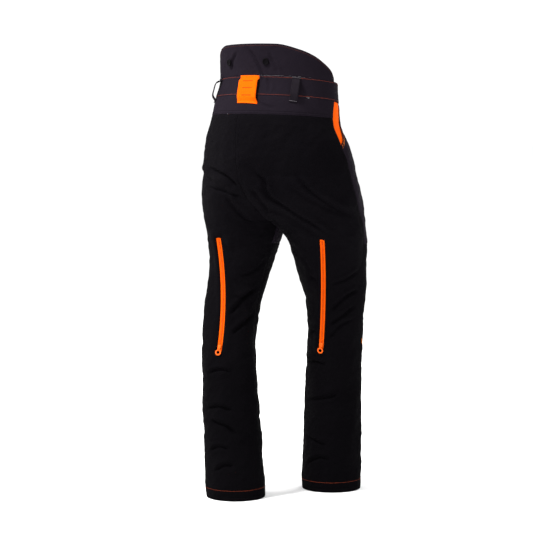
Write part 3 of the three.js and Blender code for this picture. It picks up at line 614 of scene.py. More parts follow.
GUNMETAL = moulded("gunmetal_plate", (0.05, 0.05, 0.055), (0.11, 0.11, 0.12), 0.26, metallic=0.9)
ORANGE_PLASTIC = moulded("orange_moulded_pull", (0.66, 0.085, 0.002), (0.80, 0.11, 0.004), 0.42, gloss=0.12)
ORANGE_COIL = moulded("orange_zip_coil", (0.60, 0.070, 0.002), (0.74, 0.090, 0.004), 0.45, gloss=0.08)
BLACK_COIL = moulded("black_zip_coil", (0.010, 0.009, 0.011), (0.020, 0.018, 0.021), 0.36)


# ---------------------------------------------------------------- zip paths
ZIP_CLEAR = 3          # bare cloth at each end of a vent's slot
ZIP_HALF = 6.6         # half of the band that shows between the cloth edges
TAPE_HALF = 8.5
FLY_TAPE_HALF = 6.5
TAPE_OVER = 5          # how far a tape runs on past its teeth
COIL_HALF = 2.8
SLIDER_LENGTH = 13
SLIDER_HALF = 4.8
VENT_PIVOT = -1.2       # where a vent ring hangs, along its slider
FLY_PIVOT = 5.85
SLIDER_AHEAD = 0.3
PIVOT_OUT = 3.3
RING_RADIUS = 6.3


def unit(vector):
    return vector / np.linalg.norm(vector, axis=-1, keepdims=True)


class Arc:
    """A zip's path: the circle through three points, with a frame that keeps one lean to it."""

    def __init__(self, low, middle, high, facing):
        a = low - middle
        b = high - middle
        cross = np.cross(a, b)
        self.axis = unit(cross)
        self.centre = middle + np.cross(b * (a @ a) - a * (b @ b), cross) / (2 * cross @ cross)
        start = low - self.centre
        self.radius = np.linalg.norm(start)
        self.start = start / self.radius
        self.side = np.cross(self.axis, self.start)
        end = high - self.centre
        turn = math.atan2(end @ self.side, end @ self.start)
        self.spin = 1 if turn > 0 else -1
        self.length = abs(turn) * self.radius
        radial = unit(middle - self.centre)
        self.lean = math.atan2(facing @ self.axis, facing @ radial)

    def frame(self, distance):
        angle = self.spin * np.asarray(distance, float)[..., None] / self.radius
        towards = self.start * np.cos(angle) + self.side * np.sin(angle)
        out = towards * math.cos(self.lean) + self.axis * math.sin(self.lean)
        across = -towards * math.sin(self.lean) + self.axis * math.cos(self.lean)
        return self.centre + towards * self.radius, across, out

    def local(self, points):
        """Distance along the path, then across and out from it, and the out direction."""
        offset = points - self.centre
        level = offset @ self.axis
        flat = offset - level[..., None] * self.axis
        reach = np.linalg.norm(flat, axis=-1)
        angle = self.spin * np.arctan2(flat @ self.side, flat @ self.start)
        rise = reach - self.radius
        across = -rise * math.sin(self.lean) + level * math.cos(self.lean)
        out = rise * math.cos(self.lean) + level * math.sin(self.lean)
        direction = flat / reach[..., None] * math.cos(self.lean) + self.axis * math.sin(self.lean)
        return angle * self.radius, across, out, direction


class Straight:
    """A straight zip's path, rising along the body's centre line."""

    def __init__(self, low, high):
        self.low = low
        self.rise = unit(high - low)
        self.length = np.linalg.norm(high - low)
        self.across = np.array([1.0, 0.0, 0.0])
        out = np.cross(self.rise, self.across)
        self.out = out if out[1] < 0 else -out

    def frame(self, distance):
        distance = np.asarray(distance, float)[..., None]
        origin = self.low + self.rise * distance
        return origin, self.across + 0 * origin, self.out + 0 * origin


def vent_arc(half):
    heights = np.array([VENT_BOTTOM, (VENT_TOP + VENT_BOTTOM) / 2, VENT_TOP])
    beta = back_beta(half, heights, along(VENT_PLACE[half], heights))
    low, middle, high = loop_point(half, heights, beta)
    return Arc(low, middle, high, outward(half, heights, beta)[1])


VENTS = {half: vent_arc(half) for half in HALVES}


def fly_line():
    heights = np.array([FLY_BOTTOM + 5, FLY_TOP - 2])
    low, high = loop_point("left", heights, front_beta("left", heights, 1.0))
    low[0] = high[0] = 0
    return Straight(low, high)


FLY = fly_line()


def near_vent(half, points):
    """How near each point is to the vent, from 0 to 1, and the step that lays it level with the zip."""
    arc = VENTS[half]
    distance, across, out, direction = arc.local(points)
    near = smooth((30 - np.abs(across)) / 22)
    near = near * smooth((distance + 24) / 24) * smooth((arc.length + 24 - distance) / 24)
    near = np.where(np.abs(out) < 25, near, 0)
    return near, -direction * (near * out)[..., None]


def slot_shares(half, z):
    """The shares of the back panel's width at the two edges of the vent's slot."""
    arc = VENTS[half]
    dense = np.linspace(0.2, 0.8, 241)
    low = []
    high = []
    for height in np.clip(z, VENT_BOTTOM - 4, VENT_TOP + 4):
        points = loop_point(half, height, back_beta(half, height, dense))
        across = arc.local(points)[1]
        order = np.argsort(across)
        edges = np.interp([-ZIP_HALF, ZIP_HALF], across[order], dense[order])
        low.append(min(edges))
        high.append(max(edges))
    return np.array(low), np.array(high)


# ---------------------------------------------------------------- swept shapes and stitches
def swept(origin, across, out, outline, closed=False):
    """Vertices and faces of an outline of (across, out) points carried along frames."""
    outline = np.array(outline, float)
    points = (origin[:, None] + across[:, None] * outline[None, :, :1] + out[:, None] * outline[None, :, 1:])
    count, size = points.shape[:2]
    vertices = points.reshape(-1, 3)
    return vertices, ring_faces(vertices, count, size, closed)


def ring_faces(vertices, rings, size, closed=False):
    """Outward faces that join rings of points, with a cap on each end where the rings don't close up."""
    faces = []
    for i in range(rings if closed else rings - 1):
        k = (i + 1) % rings
        for j in range(size):
            m = (j + 1) % size
            faces.append((i * size + j, i * size + m, k * size + m, k * size + j))
    if not closed:
        faces.append(tuple(range(size))[::-1])
        faces.append(tuple((rings - 1) * size + j for j in range(size)))
    if volume_of(vertices, faces) < 0:
        faces = [face[::-1] for face in faces]
    return faces


def volume_of(vertices, faces):
    total = 0.0
    for face in faces:
        corner = vertices[list(face)]
        for k in range(1, len(face) - 1):
            total += corner[0] @ np.cross(corner[k], corner[k + 1])
    return total


def rounded(half_width, low, high, corner=0.4):
    """A rectangle of (across, out) points with its corners cut."""
    return [(-half_width, low + corner), (-half_width + corner, low), (half_width - corner, low),
            (half_width, low + corner), (half_width, high - corner), (half_width - corner, high),
            (-half_width + corner, high), (-half_width, high - corner)]


def sweep_piece(name, frames, outline, body, material, replaced=(), closed=False):
    vertices, faces = swept(*frames, outline, closed)
    weave = np.repeat(running(frames[0]), len(outline))
    across = np.tile(np.array([p[0] for p in outline]), len(frames[0]))
    coordinates = np.stack([across, weave, 0 * weave], -1)
    mesh = mesh_from(name, vertices, faces, coordinates)
    return new_object(name, mesh, body, material, replaced)


def running(points):
    return np.concatenate([[0], np.cumsum(np.linalg.norm(np.diff(points, axis=0), axis=1))])


def resample(points, pitch, *others):
    """Even steps along a line of points, with its direction and whatever else runs with it."""
    length = running(points)
    count = max(1, int(length[-1] / pitch))
    at = (np.arange(count) + 0.5) * length[-1] / count
    pick = lambda values: np.stack([np.interp(at, length, values[:, k]) for k in range(3)], -1)
    centres = pick(points)
    ahead = pick(np.gradient(points, axis=0))
    return (centres, unit(ahead)) + tuple(pick(other) for other in others)


BAR_RINGS = [(-0.5, 0.12), (-0.42, 0.66), (-0.2, 0.96), (0.2, 0.96), (0.42, 0.66), (0.5, 0.12)]
BAR_SIDES = 6
BAR_SAG = 0.35         # how far a bar's ends dip, as a share of its height


def bars(name, centres, direction, up, length, width, height, body, material, replaced=()):
    """A row of small rounded bars, such as stitches or zip teeth, sunk a little into what they lie on."""
    direction = unit(direction)
    across = unit(np.cross(direction, up))
    up = np.cross(across, direction)
    turn = np.arange(BAR_SIDES) * 2 * math.pi / BAR_SIDES
    template = np.array([(u * length, math.cos(t) * r * width / 2,
                          math.sin(t) * r * height / 2 - 2 * u * u * height * BAR_SAG)
                         for u, r in BAR_RINGS for t in turn])
    vertices = (centres[:, None] + direction[:, None] * template[None, :, :1]
                + across[:, None] * template[None, :, 1:2] + up[:, None] * template[None, :, 2:])
    one = ring_faces(vertices[0], len(BAR_RINGS), BAR_SIDES)
    size = len(template)
    faces = [tuple(k + size * c for k in face) for c in range(len(centres)) for face in one]
    mesh = mesh_from(name, vertices.reshape(-1, 3), faces)
    return new_object(name, mesh, body, material, replaced)


def stitches(name, points, normals, material, body="garment", pitch=3.4, length=2.5, width=0.75, proud=0.15):
    """Lockstitches along a line that lies on the cloth."""
    centres, direction, up = resample(points, pitch, normals)
    bars(name, centres + up * proud, direction, up, length, width, 0.7, body, material)


def tube(name, points, radius, body, material, replaced=(), sides=8, closed=False):
    """A round tube along a line of points."""
    points = np.asarray(points, float)
    ahead = unit(np.roll(points, -1, 0) - np.roll(points, 1, 0) if closed else np.gradient(points, axis=0))
    guide = unit(np.cross(ahead, [0.31, 0.42, 0.85]))
    other = np.cross(ahead, guide)
    turn = np.arange(sides) * 2 * math.pi / sides
    outline = [(math.cos(t) * radius, math.sin(t) * radius) for t in turn]
    return sweep_piece(name, (points, guide, other), outline, body, material, replaced, closed)


# ---------------------------------------------------------------- leg and seat cloth
CLOTH_STEP = 3.0
ROW_GAP = 0.15          # half the gap between two panels at a crosswise seam
BACK_WIDTH = 250
FRONT_WIDTH = 240
SLOT_COLUMNS = (0.47, 0.475, 0.48, 0.5, 0.52, 0.525, 0.53)
SLOT_ROLL = 1.5         # how far the cloth's edge turns in beside a vent's zip
SLOT_ROLL_WIDE = 2.6
SLOT_ROLL_NEAR = 20
PANEL_EDGE = 0.00005    # a panel stops this share of its width short of each seam


def settled(half, z, beta):
    """Cloth of the back panel, laid level beside the vent, and the direction it faces."""
    normal = outward(half, z, beta)
    base = loop_point(half, z, beta)
    near, step = near_vent(half, base)
    lift = cloth_lift(base.reshape(-1, 3)).reshape(near.shape) * (1 - near)
    return base + normal * lift[..., None] + step, normal


def back_columns(half, z, columns):
    """Shares of the back panel's width, with the outer slot columns on the edges of the vent's slot."""
    low, high = slot_shares(half, z)
    marks = [0, SLOT_COLUMNS[0], SLOT_COLUMNS[-1], 1]
    return np.stack([np.interp(columns, marks, [0, a, b, 1]) for a, b in zip(low, high)])


def sheet_piece(name, node, points, thick, normal, material, slot, held="hung", **form):
    """One sheet of cloth, from the grid of its outer points."""
    mesh = cloth_piece(name, points, thick, normal, **form)
    piece = new_object(name, mesh, "garment", material, [node])


def back_panel(half):
    z = np.concatenate([spread(YOKE - ROW_GAP, VENT_TOP, CLOTH_STEP),
                        spread(VENT_TOP, VENT_BOTTOM, CLOTH_STEP)[1:],
                        spread(VENT_BOTTOM, 0, CLOTH_STEP)[1:]])
    columns = shares(BACK_WIDTH, CLOTH_STEP, SLOT_COLUMNS)
    share = back_columns(half, z, columns)
    share = PANEL_EDGE + share * (1 - 2 * PANEL_EDGE)
    beta = back_beta(half, z[:, None], share)
    points, normal = settled(half, z[:, None] + 0 * beta, beta)
    middle = (columns[:-1] + columns[1:]) / 2
    slot_rows = (z[:-1] <= VENT_TOP) & (z[1:] >= VENT_BOTTOM)
    slot_columns = (middle > SLOT_COLUMNS[0]) & (middle < SLOT_COLUMNS[-1])
    in_slot = slot_rows[:, None] & slot_columns[None, :]
    distance, across, out, direction = VENTS[half].local(points)
    middle_of_zip = VENTS[half].length / 2
    edge = np.hypot(np.maximum(0, np.abs(across) - ZIP_HALF),
                    np.maximum(0, np.abs(distance - middle_of_zip) - middle_of_zip))
    beside = np.exp(-(edge / SLOT_ROLL_WIDE) ** 2) * (np.abs(out) < SLOT_ROLL_NEAR)
    points = points - direction * (SLOT_ROLL * beside)[..., None]
    sheet_piece(half + "_back_cloth", half + "_back_panel", points, SHELL, normal, BLACK_STRETCH,
                "black_stretch", keep=~in_slot)


def hip_beta(half, z, share):
    fly = np.where(z >= FLY_BOTTOM, FLY_HALF_SLOT / (along(HALF_WIDTH, z) * 1.35), 0)
    mouth = along(POCKET_MOUTH, z)
    return front_beta(half, z, mouth + (1 - fly - mouth) * share)


def front_panel(half, name, node, top, bottom, material, slot):
    z = spread(top, bottom, CLOTH_STEP)
    if top > FLY_BOTTOM:
        z = np.concatenate([spread(top, FLY_BOTTOM + 0.2, CLOTH_STEP),
                            spread(FLY_BOTTOM - 0.2, bottom, CLOTH_STEP)])
    columns = PANEL_EDGE + (1 - 2 * PANEL_EDGE) * shares(FRONT_WIDTH, CLOTH_STEP)
    z = z[:, None] + 0 * columns
    beta = hip_beta(half, z, columns[None, :])
    points = cloth(half, z, beta)
    sheet_piece(name, node, points, SHELL, outward(half, z, beta), material, slot)


# ---------------------------------------------------------------- layers inside the legs
PAD_DEPTH = 4.8
PAD_THICK = 6.5
LINING_DEPTH = 12.2
LINING_THICK = 1.2
FACING_DEPTH = 2.4
FACING_THICK = 1.4
BAG_TOP = 1025
BAG_DEPTH = 15.6
BAG_THICK = 2.2
QUILT_PITCH = 62
LAYER_WIDTH = 230


def pad_edge(z):
    return 0.93 - 0.04 * smooth((z - SEAT) / (FLY_BOTTOM - 10 - SEAT))


def layer_grid(half, top, bottom, step, depth, low=0.035, high=1.0):
    z = spread(top, bottom, step)
    share = low + (high - low) * shares(LAYER_WIDTH, step)
    z = z[:, None] + 0 * share
    share = share[None, :] + 0 * z
    if high == 1.0:
        share = np.minimum(share, pad_edge(z) * np.ones_like(z))
        edge = pad_edge(z[:, :1])
        share = low + (edge - low) * (share[:1] - low) / (share[:1].max() - low)
    beta = front_beta(half, z, share)
    lift = cloth_lift(loop_point(half, z, beta).reshape(-1, 3)).reshape(z.shape) * 0.6
    normal = outward(half, z, beta)
    return loop_point(half, z, beta) + normal * (np.minimum(lift, 0.6) - depth)[..., None], normal, z


def cut_pad(half):
    """Layers of loose-knit fibre, held in long channels by lines of stitching."""
    outer, normal, z = layer_grid(half, PAD_TOP, PAD_BOTTOM, 5.0, PAD_DEPTH)
    u, v = grid_lengths(outer)
    channel = np.abs(np.sin(math.pi * u / QUILT_PITCH))
    cross = np.abs(np.sin(math.pi * v / (3 * QUILT_PITCH)))
    edge = np.minimum(np.minimum(u - u[:, :1], u[:, -1:] - u), np.minimum(v, v[-1:] - v))
    full = smooth(edge / 12) * (0.25 + 0.75 * np.sqrt(channel)) * (0.45 + 0.55 * np.sqrt(cross))
    name = half + "_cut_pad_fibre"
    middle = outer - normal * (PAD_THICK / 2)
    top = middle + normal * (0.5 + (PAD_THICK / 2 - 0.5) * full)[..., None]
    thickness = 1.0 + (PAD_THICK - 1.0) * full
    mesh = cloth_piece(name, top, thickness, normal, edge_roll=0)
    piece = new_object(name, mesh, "garment", WHITE_FIBRE, [half + "_cut_pad"])


def inner_layer(half, name, node, top, bottom, depth, thick, low, high, material, slot):
    outer, normal, _ = layer_grid(half, top, bottom, 6.0, depth, low, high)
    sheet_piece(name, node, outer, thick, normal, material, slot, edge_roll=0.3)


def hem_facing(half):
    """The turned-up hem inside each leg."""
    z = spread(HEM_TURN, 0.4, 3.0)
    turn = np.radians(np.arange(-180, 180, 3.0))
    beta = side_seam(half, z)[:, None] + turn[None, :]
    z = z[:, None] + 0 * beta
    outer = cloth(half, z, beta, 2.2)
    sheet_piece(half + "_hem_facing_cloth", half + "_hem_facing", outer, SHELL, outward(half, z, beta),
                BLACK_STRETCH, "black_stretch", "folded", closed=True, edge_roll=0.3)


# ---------------------------------------------------------------- zips and vents
def zip_frames(path, start, end, count):
    return path.frame(np.linspace(start, end, count))


def zip_teeth(prefix, path, offset, length, material, pitch=1.7):
    """A flat spiral of coil teeth: bars across the tape, alternating a little to each side."""
    count = int(length / pitch)
    at = offset + (np.arange(count) + 0.5) * pitch
    origin, across, out = path.frame(at)
    step = path.frame(at + 1)[0] - origin
    shift = np.where(np.arange(count) % 2 == 0, 0.35, -0.35)[:, None]
    centres = origin + across * shift - out * 1.45
    direction = across + unit(step) * 0.12
    bars(prefix + "_teeth", centres, direction, out, 2 * COIL_HALF, 1.35, 1.7, "garment", material,
         [prefix + "_coil"])


def zip_stops(prefix, path, offset, length):
    for end, at in (("bottom", offset - 2.2), ("top", offset + length + 2.2)):
        origin, across, out = path.frame(np.array([at]))
        bars(f"{prefix}_{end}_stop_clip", origin - out * 1.2, across, out, 8.2, 3.0, 2.2, "garment", GUNMETAL,
             [f"{prefix}_{end}_stop"])


SLIDER_SECTIONS = [(-0.5, 0.62, 0.7), (0.4, 0.72, 0.95), (3.5, 0.78, 1.0), (7.5, 0.92, 1.0), (11.0, 1.0, 1.0),
                   (12.6, 0.96, 0.95), (13.3, 0.84, 0.7)]


def slider_outline(width, rise):
    """A slider's section: a channel over the teeth, with a crowned top."""
    half = SLIDER_HALF * width
    top = 1.9 * rise
    return [(-half, -1.9), (-half + 1.3, -2.0), (-half + 1.3, 0.25), (half - 1.3, 0.25), (half - 1.3, -2.0),
            (half, -1.9), (half + 0.1, 0.2), (half - 0.3, top - 0.6), (half - 1.1, top - 0.1),
            (0, top + 0.15), (-half + 1.1, top - 0.1), (-half + 0.3, top - 0.6), (-half - 0.1, 0.2)]


def zip_slider(prefix, path, rest, pivot, body, material):
    """The slider with its arch, which rides along the zip."""
    origin, across, out = path.frame(np.array([rest + row[0] for row in SLIDER_SECTIONS]))
    outlines = np.array([slider_outline(row[1], row[2]) for row in SLIDER_SECTIONS])
    points = origin[:, None] + across[:, None] * outlines[..., :1] + out[:, None] * outlines[..., 1:]
    vertices = points.reshape(-1, 3)
    faces = ring_faces(vertices, len(outlines), outlines.shape[1])
    mesh = mesh_from(prefix + "_slider_body", vertices, faces)
    piece = new_object(prefix + "_slider_body", mesh, body, material, [prefix + "_slider"])
    bevel = piece.modifiers.new("soft_edges", "BEVEL")
    bevel.width = 0.25 * MM
    bevel.segments = 2
    bevel.limit_method = "ANGLE"
    add_arch(prefix, path, rest, pivot, body, material)


def add_arch(prefix, path, rest, pivot, body, material):
    """The arch over the ring, from the slider's back to its front."""
    origin, across, out = path.frame(np.array([rest + pivot]))
    along_zip = unit(path.frame(np.array([rest + pivot + 1]))[0] - origin)
    turn = np.radians(np.linspace(-35, 215, 21))[:, None]
    arch = origin + out * (PIVOT_OUT + 2.0 * np.sin(turn)) + along_zip * 2.5 * np.cos(turn)
    foot = origin + along_zip * 3.4 + out * 1.4
    line = np.concatenate([foot, arch, arch[-1:] - out * (0.4 if pivot < 0 else 1.4)])
    outline = rounded(1.1, -0.45, 0.45, 0.2)
    towards = unit(line - (origin + out * PIVOT_OUT))
    sweep_piece(prefix + "_slider_arch", (line, across + 0 * line, towards), outline, body, material)


def zip_ring(prefix, path, rest, pivot, body, material):
    """A moulded ring pull, hung from the slider's arch."""
    origin, across, out = (v[0] for v in path.frame(np.array([rest + pivot])))
    ahead = path.frame(np.array([rest + pivot + 1]))[0][0] - origin
    down = -unit(ahead - out * (ahead @ out))
    centre = origin + out * PIVOT_OUT + down * RING_RADIUS
    turn = np.radians(np.arange(0, 360, 7.5))[:, None]
    spoke = across * np.sin(turn) - down * np.cos(turn)
    points = centre + spoke * RING_RADIUS
    near_top = np.exp(-((np.degrees(turn[:, 0]) + 180) % 360 - 180) ** 2 / 900)
    outlines = []
    for slim in near_top:
        reach = 1.75 - 0.75 * slim
        outlines.append([(-reach, -0.55), (-reach * 0.6, -1.0), (reach * 0.6, -1.0), (reach, -0.55),
                         (reach, 0.55), (reach * 0.6, 1.0), (-reach * 0.6, 1.0), (-reach, 0.55)])
    outlines = np.array(outlines)
    vertices = (points[:, None] + spoke[:, None] * outlines[..., :1] + out * outlines[..., 1:]).reshape(-1, 3)
    faces = ring_faces(vertices, len(points), outlines.shape[1], closed=True)
    mesh = mesh_from(prefix + "_ring_pull", vertices, faces)
    new_object(prefix + "_ring_pull", mesh, body, material, [prefix + "_pull"])


def add_zip(prefix, path, offset, length, rest, pivot, tape, teeth, metal, bodies, tape_half):
    frames = zip_frames(path, offset - TAPE_OVER, offset + length + TAPE_OVER, 90)
    outline = [(-tape_half, -3.0), (tape_half, -3.0), (tape_half, -2.5), (3.4, -2.15), (2.9, -2.4),
               (-2.9, -2.4), (-3.4, -2.15), (-tape_half, -2.5)]
    sweep_piece(prefix + "_woven_tape", frames, outline, "garment", tape, [prefix + "_tape"])
    zip_teeth(prefix, path, offset, length, teeth)
    zip_slider(prefix, path, rest, pivot, bodies[0], metal)
    zip_ring(prefix, path, rest, pivot, bodies[1], metal)


def add_vent(half):
    arc = VENTS[half]
    length = arc.length - 2 * ZIP_CLEAR
    add_zip(half + "_vent", arc, ZIP_CLEAR, length, ZIP_CLEAR + SLIDER_AHEAD, VENT_PIVOT, ORANGE_TAPE,
            ORANGE_COIL, ORANGE_PLASTIC, (half + "_slider", half + "_ring"), TAPE_HALF)
    frames = zip_frames(arc, -6, arc.length + 6, 60)
    sweep_piece(half + "_vent_net", frames, rounded(TAPE_HALF + 4, -10.2, -9.2, 0.3), "garment", DARK_MESH,
                [half + "_vent_mesh"])
    for edge in (-1, 1):
        at = np.linspace(-6, arc.length + 6, 160)
        origin, across, out = arc.frame(at)
        line = origin + across * edge * (ZIP_HALF + 3.4) - out * 0.15
        stitches(f"{half}_vent_stitch_{'inner' if edge > 0 else 'outer'}", line, out, DARK_THREAD)


def add_fly():
    rest = FLY.length - SLIDER_LENGTH - 1
    add_zip("fly", FLY, 0.0, FLY.length, rest, FLY_PIVOT, DARK_WEBBING, BLACK_COIL, GUNMETAL,
            ("fly_slider_body", "fly_ring"), FLY_TAPE_HALF)
    zip_stops("fly", FLY, 0.0, FLY.length)
    frames = zip_frames(FLY, -12, FLY.length - 2, 30)
    sweep_piece("fly_shield_cloth", frames, rounded(17, -8.8, -6.4, 0.8), "garment", GREY_CANVAS,
                ["fly_shield"])


# ---------------------------------------------------------------- waist pieces
BAND_SHELL = 2.6
BAND_LINING_DEPTH = 5.0
BAND_LINING_THICK = 1.4
BAND_STITCH_IN = 3.2
BAND_END = {"left": 179.7, "right": 176.5}
WAIST_SEAM = 100
FRONT_BAND_START = 100.15


def band_grid(high, low, start, end, depth=0.0, step=3.0, widen=None):
    z = spread(high, low, step)
    degrees = start + (end - start) * shares(abs(end - start) * 2.9, step)
    z = z[:, None] + 0 * degrees
    degrees = degrees[None, :] + 0 * z
    if widen is not None:
        degrees = degrees * widen(z)
    points = waist(z, degrees, depth)
    normal = unit(waist(z, degrees, depth - 1.0) - points)
    return points, normal


def band_piece(name, node, high, low, start, end, depth, thick, material, slot, widen=None):
    points, normal = band_grid(high, low, start, end, depth, widen=widen)
    sheet_piece(name, node, points, thick, normal, material, slot, edge_roll=0.4, edge_wide=1.6)


def yoke_reach(z):
    """How far round the yoke goes at each height, as a share of the rear waistband's half."""
    return (90 - np.degrees(side_seam("left", z))) / WAIST_SEAM


def flap_points(share, degrees, depth):
    height = along(FLAP_HEIGHTS, np.abs(degrees)) * share
    return waist(WAIST_TOP + SEAM_GAP + height, degrees, depth)


def flap_grid(depth, reach=98.0, low=0.0, high=1.0, step=3.0):
    share = low + (high - low) * shares(82, step)[::-1]
    degrees = -reach + 2 * reach * shares(2 * reach * 2.9, step)
    share = share[:, None] + 0 * degrees
    degrees = degrees[None, :] + 0 * share
    points = flap_points(share, degrees, depth)
    normal = unit(flap_points(share, degrees, depth - 1.0) - points)
    return points, normal


def flap_cloth():
    """The raised kidney flap: one cut of canvas with a bound top edge."""
    points, normal = flap_grid(0.0)
    sheet_piece("flap_cloth", "kidney_flap_outer", points, 2.4, normal, GREY_CANVAS, "grey_canvas",
                edge_roll=0.3, edge_wide=1.6)
    degrees = np.linspace(-97.5, 97.5, 260)
    edge = flap_points(np.ones(260), degrees, 1.3)
    tube("flap_edge_piping", edge + [0, 0, 0.2], 1.0, "garment", EDGE_BINDING)
    inside = 1 - 4.0 / along(FLAP_HEIGHTS, np.abs(degrees))
    line = flap_points(inside, degrees, -0.05)
    up = unit(flap_points(inside, degrees, -1.0) - line)
    stitches("flap_edge_stitch", line, up, RUST_THREAD)


PAD_CAP = 1.6
PAD_FRAMES = 20
CHANNEL = 48            # the spacing of the back pad's sewn lines


def inflate(obj, cap):
    """Swells a closed pad with the cloth simulation, no further than the cap, and leaves it applied."""
    start = np.array([v.co[:] for v in obj.data.vertices])
    cloth_modifier = obj.modifiers.new("swell", "CLOTH")
    settings = cloth_modifier.settings
    settings.quality = 4
    settings.mass = 0.2
    settings.use_pressure = True
    settings.uniform_pressure_force = 4.0
    settings.effector_weights.gravity = 0.0
    settings.tension_stiffness = 25
    settings.compression_stiffness = 25
    cloth_modifier.collision_settings.use_self_collision = False
    cloth_modifier.point_cache.frame_end = PAD_FRAMES
    scene = bpy.context.scene
    for step in range(1, PAD_FRAMES + 1):
        scene.frame_set(step)
    shaped = obj.evaluated_get(bpy.context.evaluated_depsgraph_get()).to_mesh()
    end = np.array([v.co[:] for v in shaped.vertices])
    obj.to_mesh_clear()
    obj.modifiers.remove(cloth_modifier)
    move = end - start
    far = np.linalg.norm(move, axis=1, keepdims=True)
    move = move * np.minimum(1, cap * MM / np.maximum(far, 1e-9))
    obj.data.vertices.foreach_set("co", (start + move).astype(np.float32).ravel())
    obj.data.update()
    scene.frame_set(1)


def flap_pad():
    """The soft pad behind the kidney flap, swelled by simulation and then sewn into channels."""
    points, normal = flap_grid(4.0, 96.0, 0.03, 0.93, 2.5)
    mesh = cloth_piece("flap_back_pad", points, 1.6, normal, edge_roll=0.2)
    piece = new_object("flap_back_pad", mesh, "garment", DARK_MESH, ["kidney_flap_lining"])
    inflate(piece, PAD_CAP)
    place = np.array([v.co[:] for v in piece.data.vertices]) / MM
    weave = np.empty(3 * len(place), np.float32)
    piece.data.attributes["weave"].data.foreach_get("vector", weave)
    run = weave.reshape(-1, 3)[:, 0] / MM
    sewn = np.exp(-((run + CHANNEL / 2) % CHANNEL - CHANNEL / 2) ** 2 / 5.0)
    flat = np.concatenate([(points - normal * d).reshape(-1, 3) for d in (0.7, 1.1)])
    place = place + (flat - place) * sewn[:, None] * 0.9
    piece.data.vertices.foreach_set("co", (place * MM).astype(np.float32).ravel())
    piece.data.update()


def waist_frame(z, degrees, above):
    """A frame along the cloth between two heights: its origin, across, up and out, and how tall it is."""
    origin = waist(z, degrees)
    rise = waist(above, degrees) - origin
    up = unit(rise)
    across = unit(np.cross(up, waist(z, degrees, -1.0) - origin))
    return origin, across, up, np.cross(across, up), np.linalg.norm(rise)


LOOP_LOW = WAIST_LOW - 13
LOOP_HIGH = WAIST_TOP - 1
BUTTON_RISE = 8
LABEL_LOW = WAIST_LOW - 20
LABEL_HIGH = WAIST_TOP
LABEL_TURN = -1
LABEL_WIDE = 60
LABEL_OFF = 5.5
LABEL_THICK = 1.2
LABEL_LEAN = 17
LABEL_BAR_ROWS = (23, 30, 37)
LABEL_BAR_REACH = 0.26
LOOP_TURN = {"rear": 47, "front": 155}
LOOP_WIDE = 20
LOOP_OFF = 11
LOOP_THICK = 2
DEGREE = 2.9            # about one degree of the waist, in millimetres


def strap_line(tall, stand_off, rest=1.3):
    """A strap's side view: (up, out) points, flat at both ends and standing off between."""
    return spline([(0, rest), (6, rest + 0.1), (11, stand_off * 0.62), (18, stand_off * 0.96),
                   (tall / 2, stand_off), (tall - 18, stand_off * 0.96), (tall - 11, stand_off * 0.62),
                   (tall - 6, rest + 0.1), (tall, rest)], 60)


def strap(name, node, degrees, low, high, width, stand_off, thick, material, slot, lean=0.0):
    origin, across, up, out, tall = waist_frame(low, degrees, high)
    line = strap_line(tall, stand_off)
    columns = np.linspace(-width / 2, width / 2, 15)[None, :] + lean * (1 - line[:, :1] / tall)
    points = origin + across * columns[..., None] + up * line[:, None, :1] + out * line[:, None, 1:]
    level = waist(low + (high - low) * line[:, :1] / tall + 0 * columns, degrees - columns / DEGREE)
    bow = ((points - level) @ out - line[:, 1:]) * np.exp(-((line[:, 1:] - 1.3) / 3.0) ** 2)
    points = points - out * bow[..., None] + out * thick
    slope = unit(np.gradient(line, axis=0))
    normal = out * slope[:, None, :1] - up * slope[:, None, 1:] + 0 * points
    sheet_piece(name, node, points[::-1], thick, normal[::-1], material, slot, "folded", edge_roll=0.45,
                edge_wide=1.2)
    return points, normal


def row_on_strap(points, normal, row, low, high):
    """A stitch line across a strap, along one of its rows, between two shares of its width."""
    count = points.shape[1]
    at = np.linspace(low, high, 24) * (count - 1)
    pick = lambda grid: np.stack([np.interp(at, np.arange(count), grid[row, :, k]) for k in range(3)], -1)
    return pick(points), pick(normal)


def add_belt_loops():
    for half, side in HALVES.items():
        for place, degrees in LOOP_TURN.items():
            name = f"{half}_{place}_belt_loop"
            points, normal = strap(name + "_webbing", name, degrees * side, LOOP_LOW, LOOP_HIGH, LOOP_WIDE,
                                   LOOP_OFF, LOOP_THICK, DARK_WEBBING, "dark_webbing")
            for end, row in (("low", 2), ("high", 57)):
                line, up = row_on_strap(points, normal, row, 0.04, 0.96)
                stitches(f"{name}_bartack_{end}", line, up, PALE_THREAD, pitch=1.5, length=1.9, width=0.9)
            for edge, at in (("inner", 1), ("outer", 13)):
                stitches(f"{name}_edge_{edge}", points[4:56, at], normal[4:56, at], DARK_THREAD)


def add_label():
    """A plain orange cloth label loop with a row of stitching at each end and three plain woven bars."""
    points, normal = strap("rear_label_cloth", "rear_label", LABEL_TURN, LABEL_LOW, LABEL_HIGH, LABEL_WIDE,
                           LABEL_OFF, LABEL_THICK, ORANGE_PATCH, "orange_tape", lean=LABEL_LEAN)
    for end, row in (("low", 3), ("high", 56)):
        line, up = row_on_strap(points, normal, row, 0.03, 0.97)
        stitches(f"rear_label_hem_{end}", line, up, BRIGHT_THREAD, pitch=2.2, length=1.8)
    for index, row in enumerate(LABEL_BAR_ROWS):
        line, up = row_on_strap(points, normal, row, 0.5 - LABEL_BAR_REACH, 0.5 + LABEL_BAR_REACH)
        stitches(f"rear_label_bar_{index}", line, up, DARK_THREAD, pitch=1.1, length=1.6, width=1.6,
                 proud=0.0)


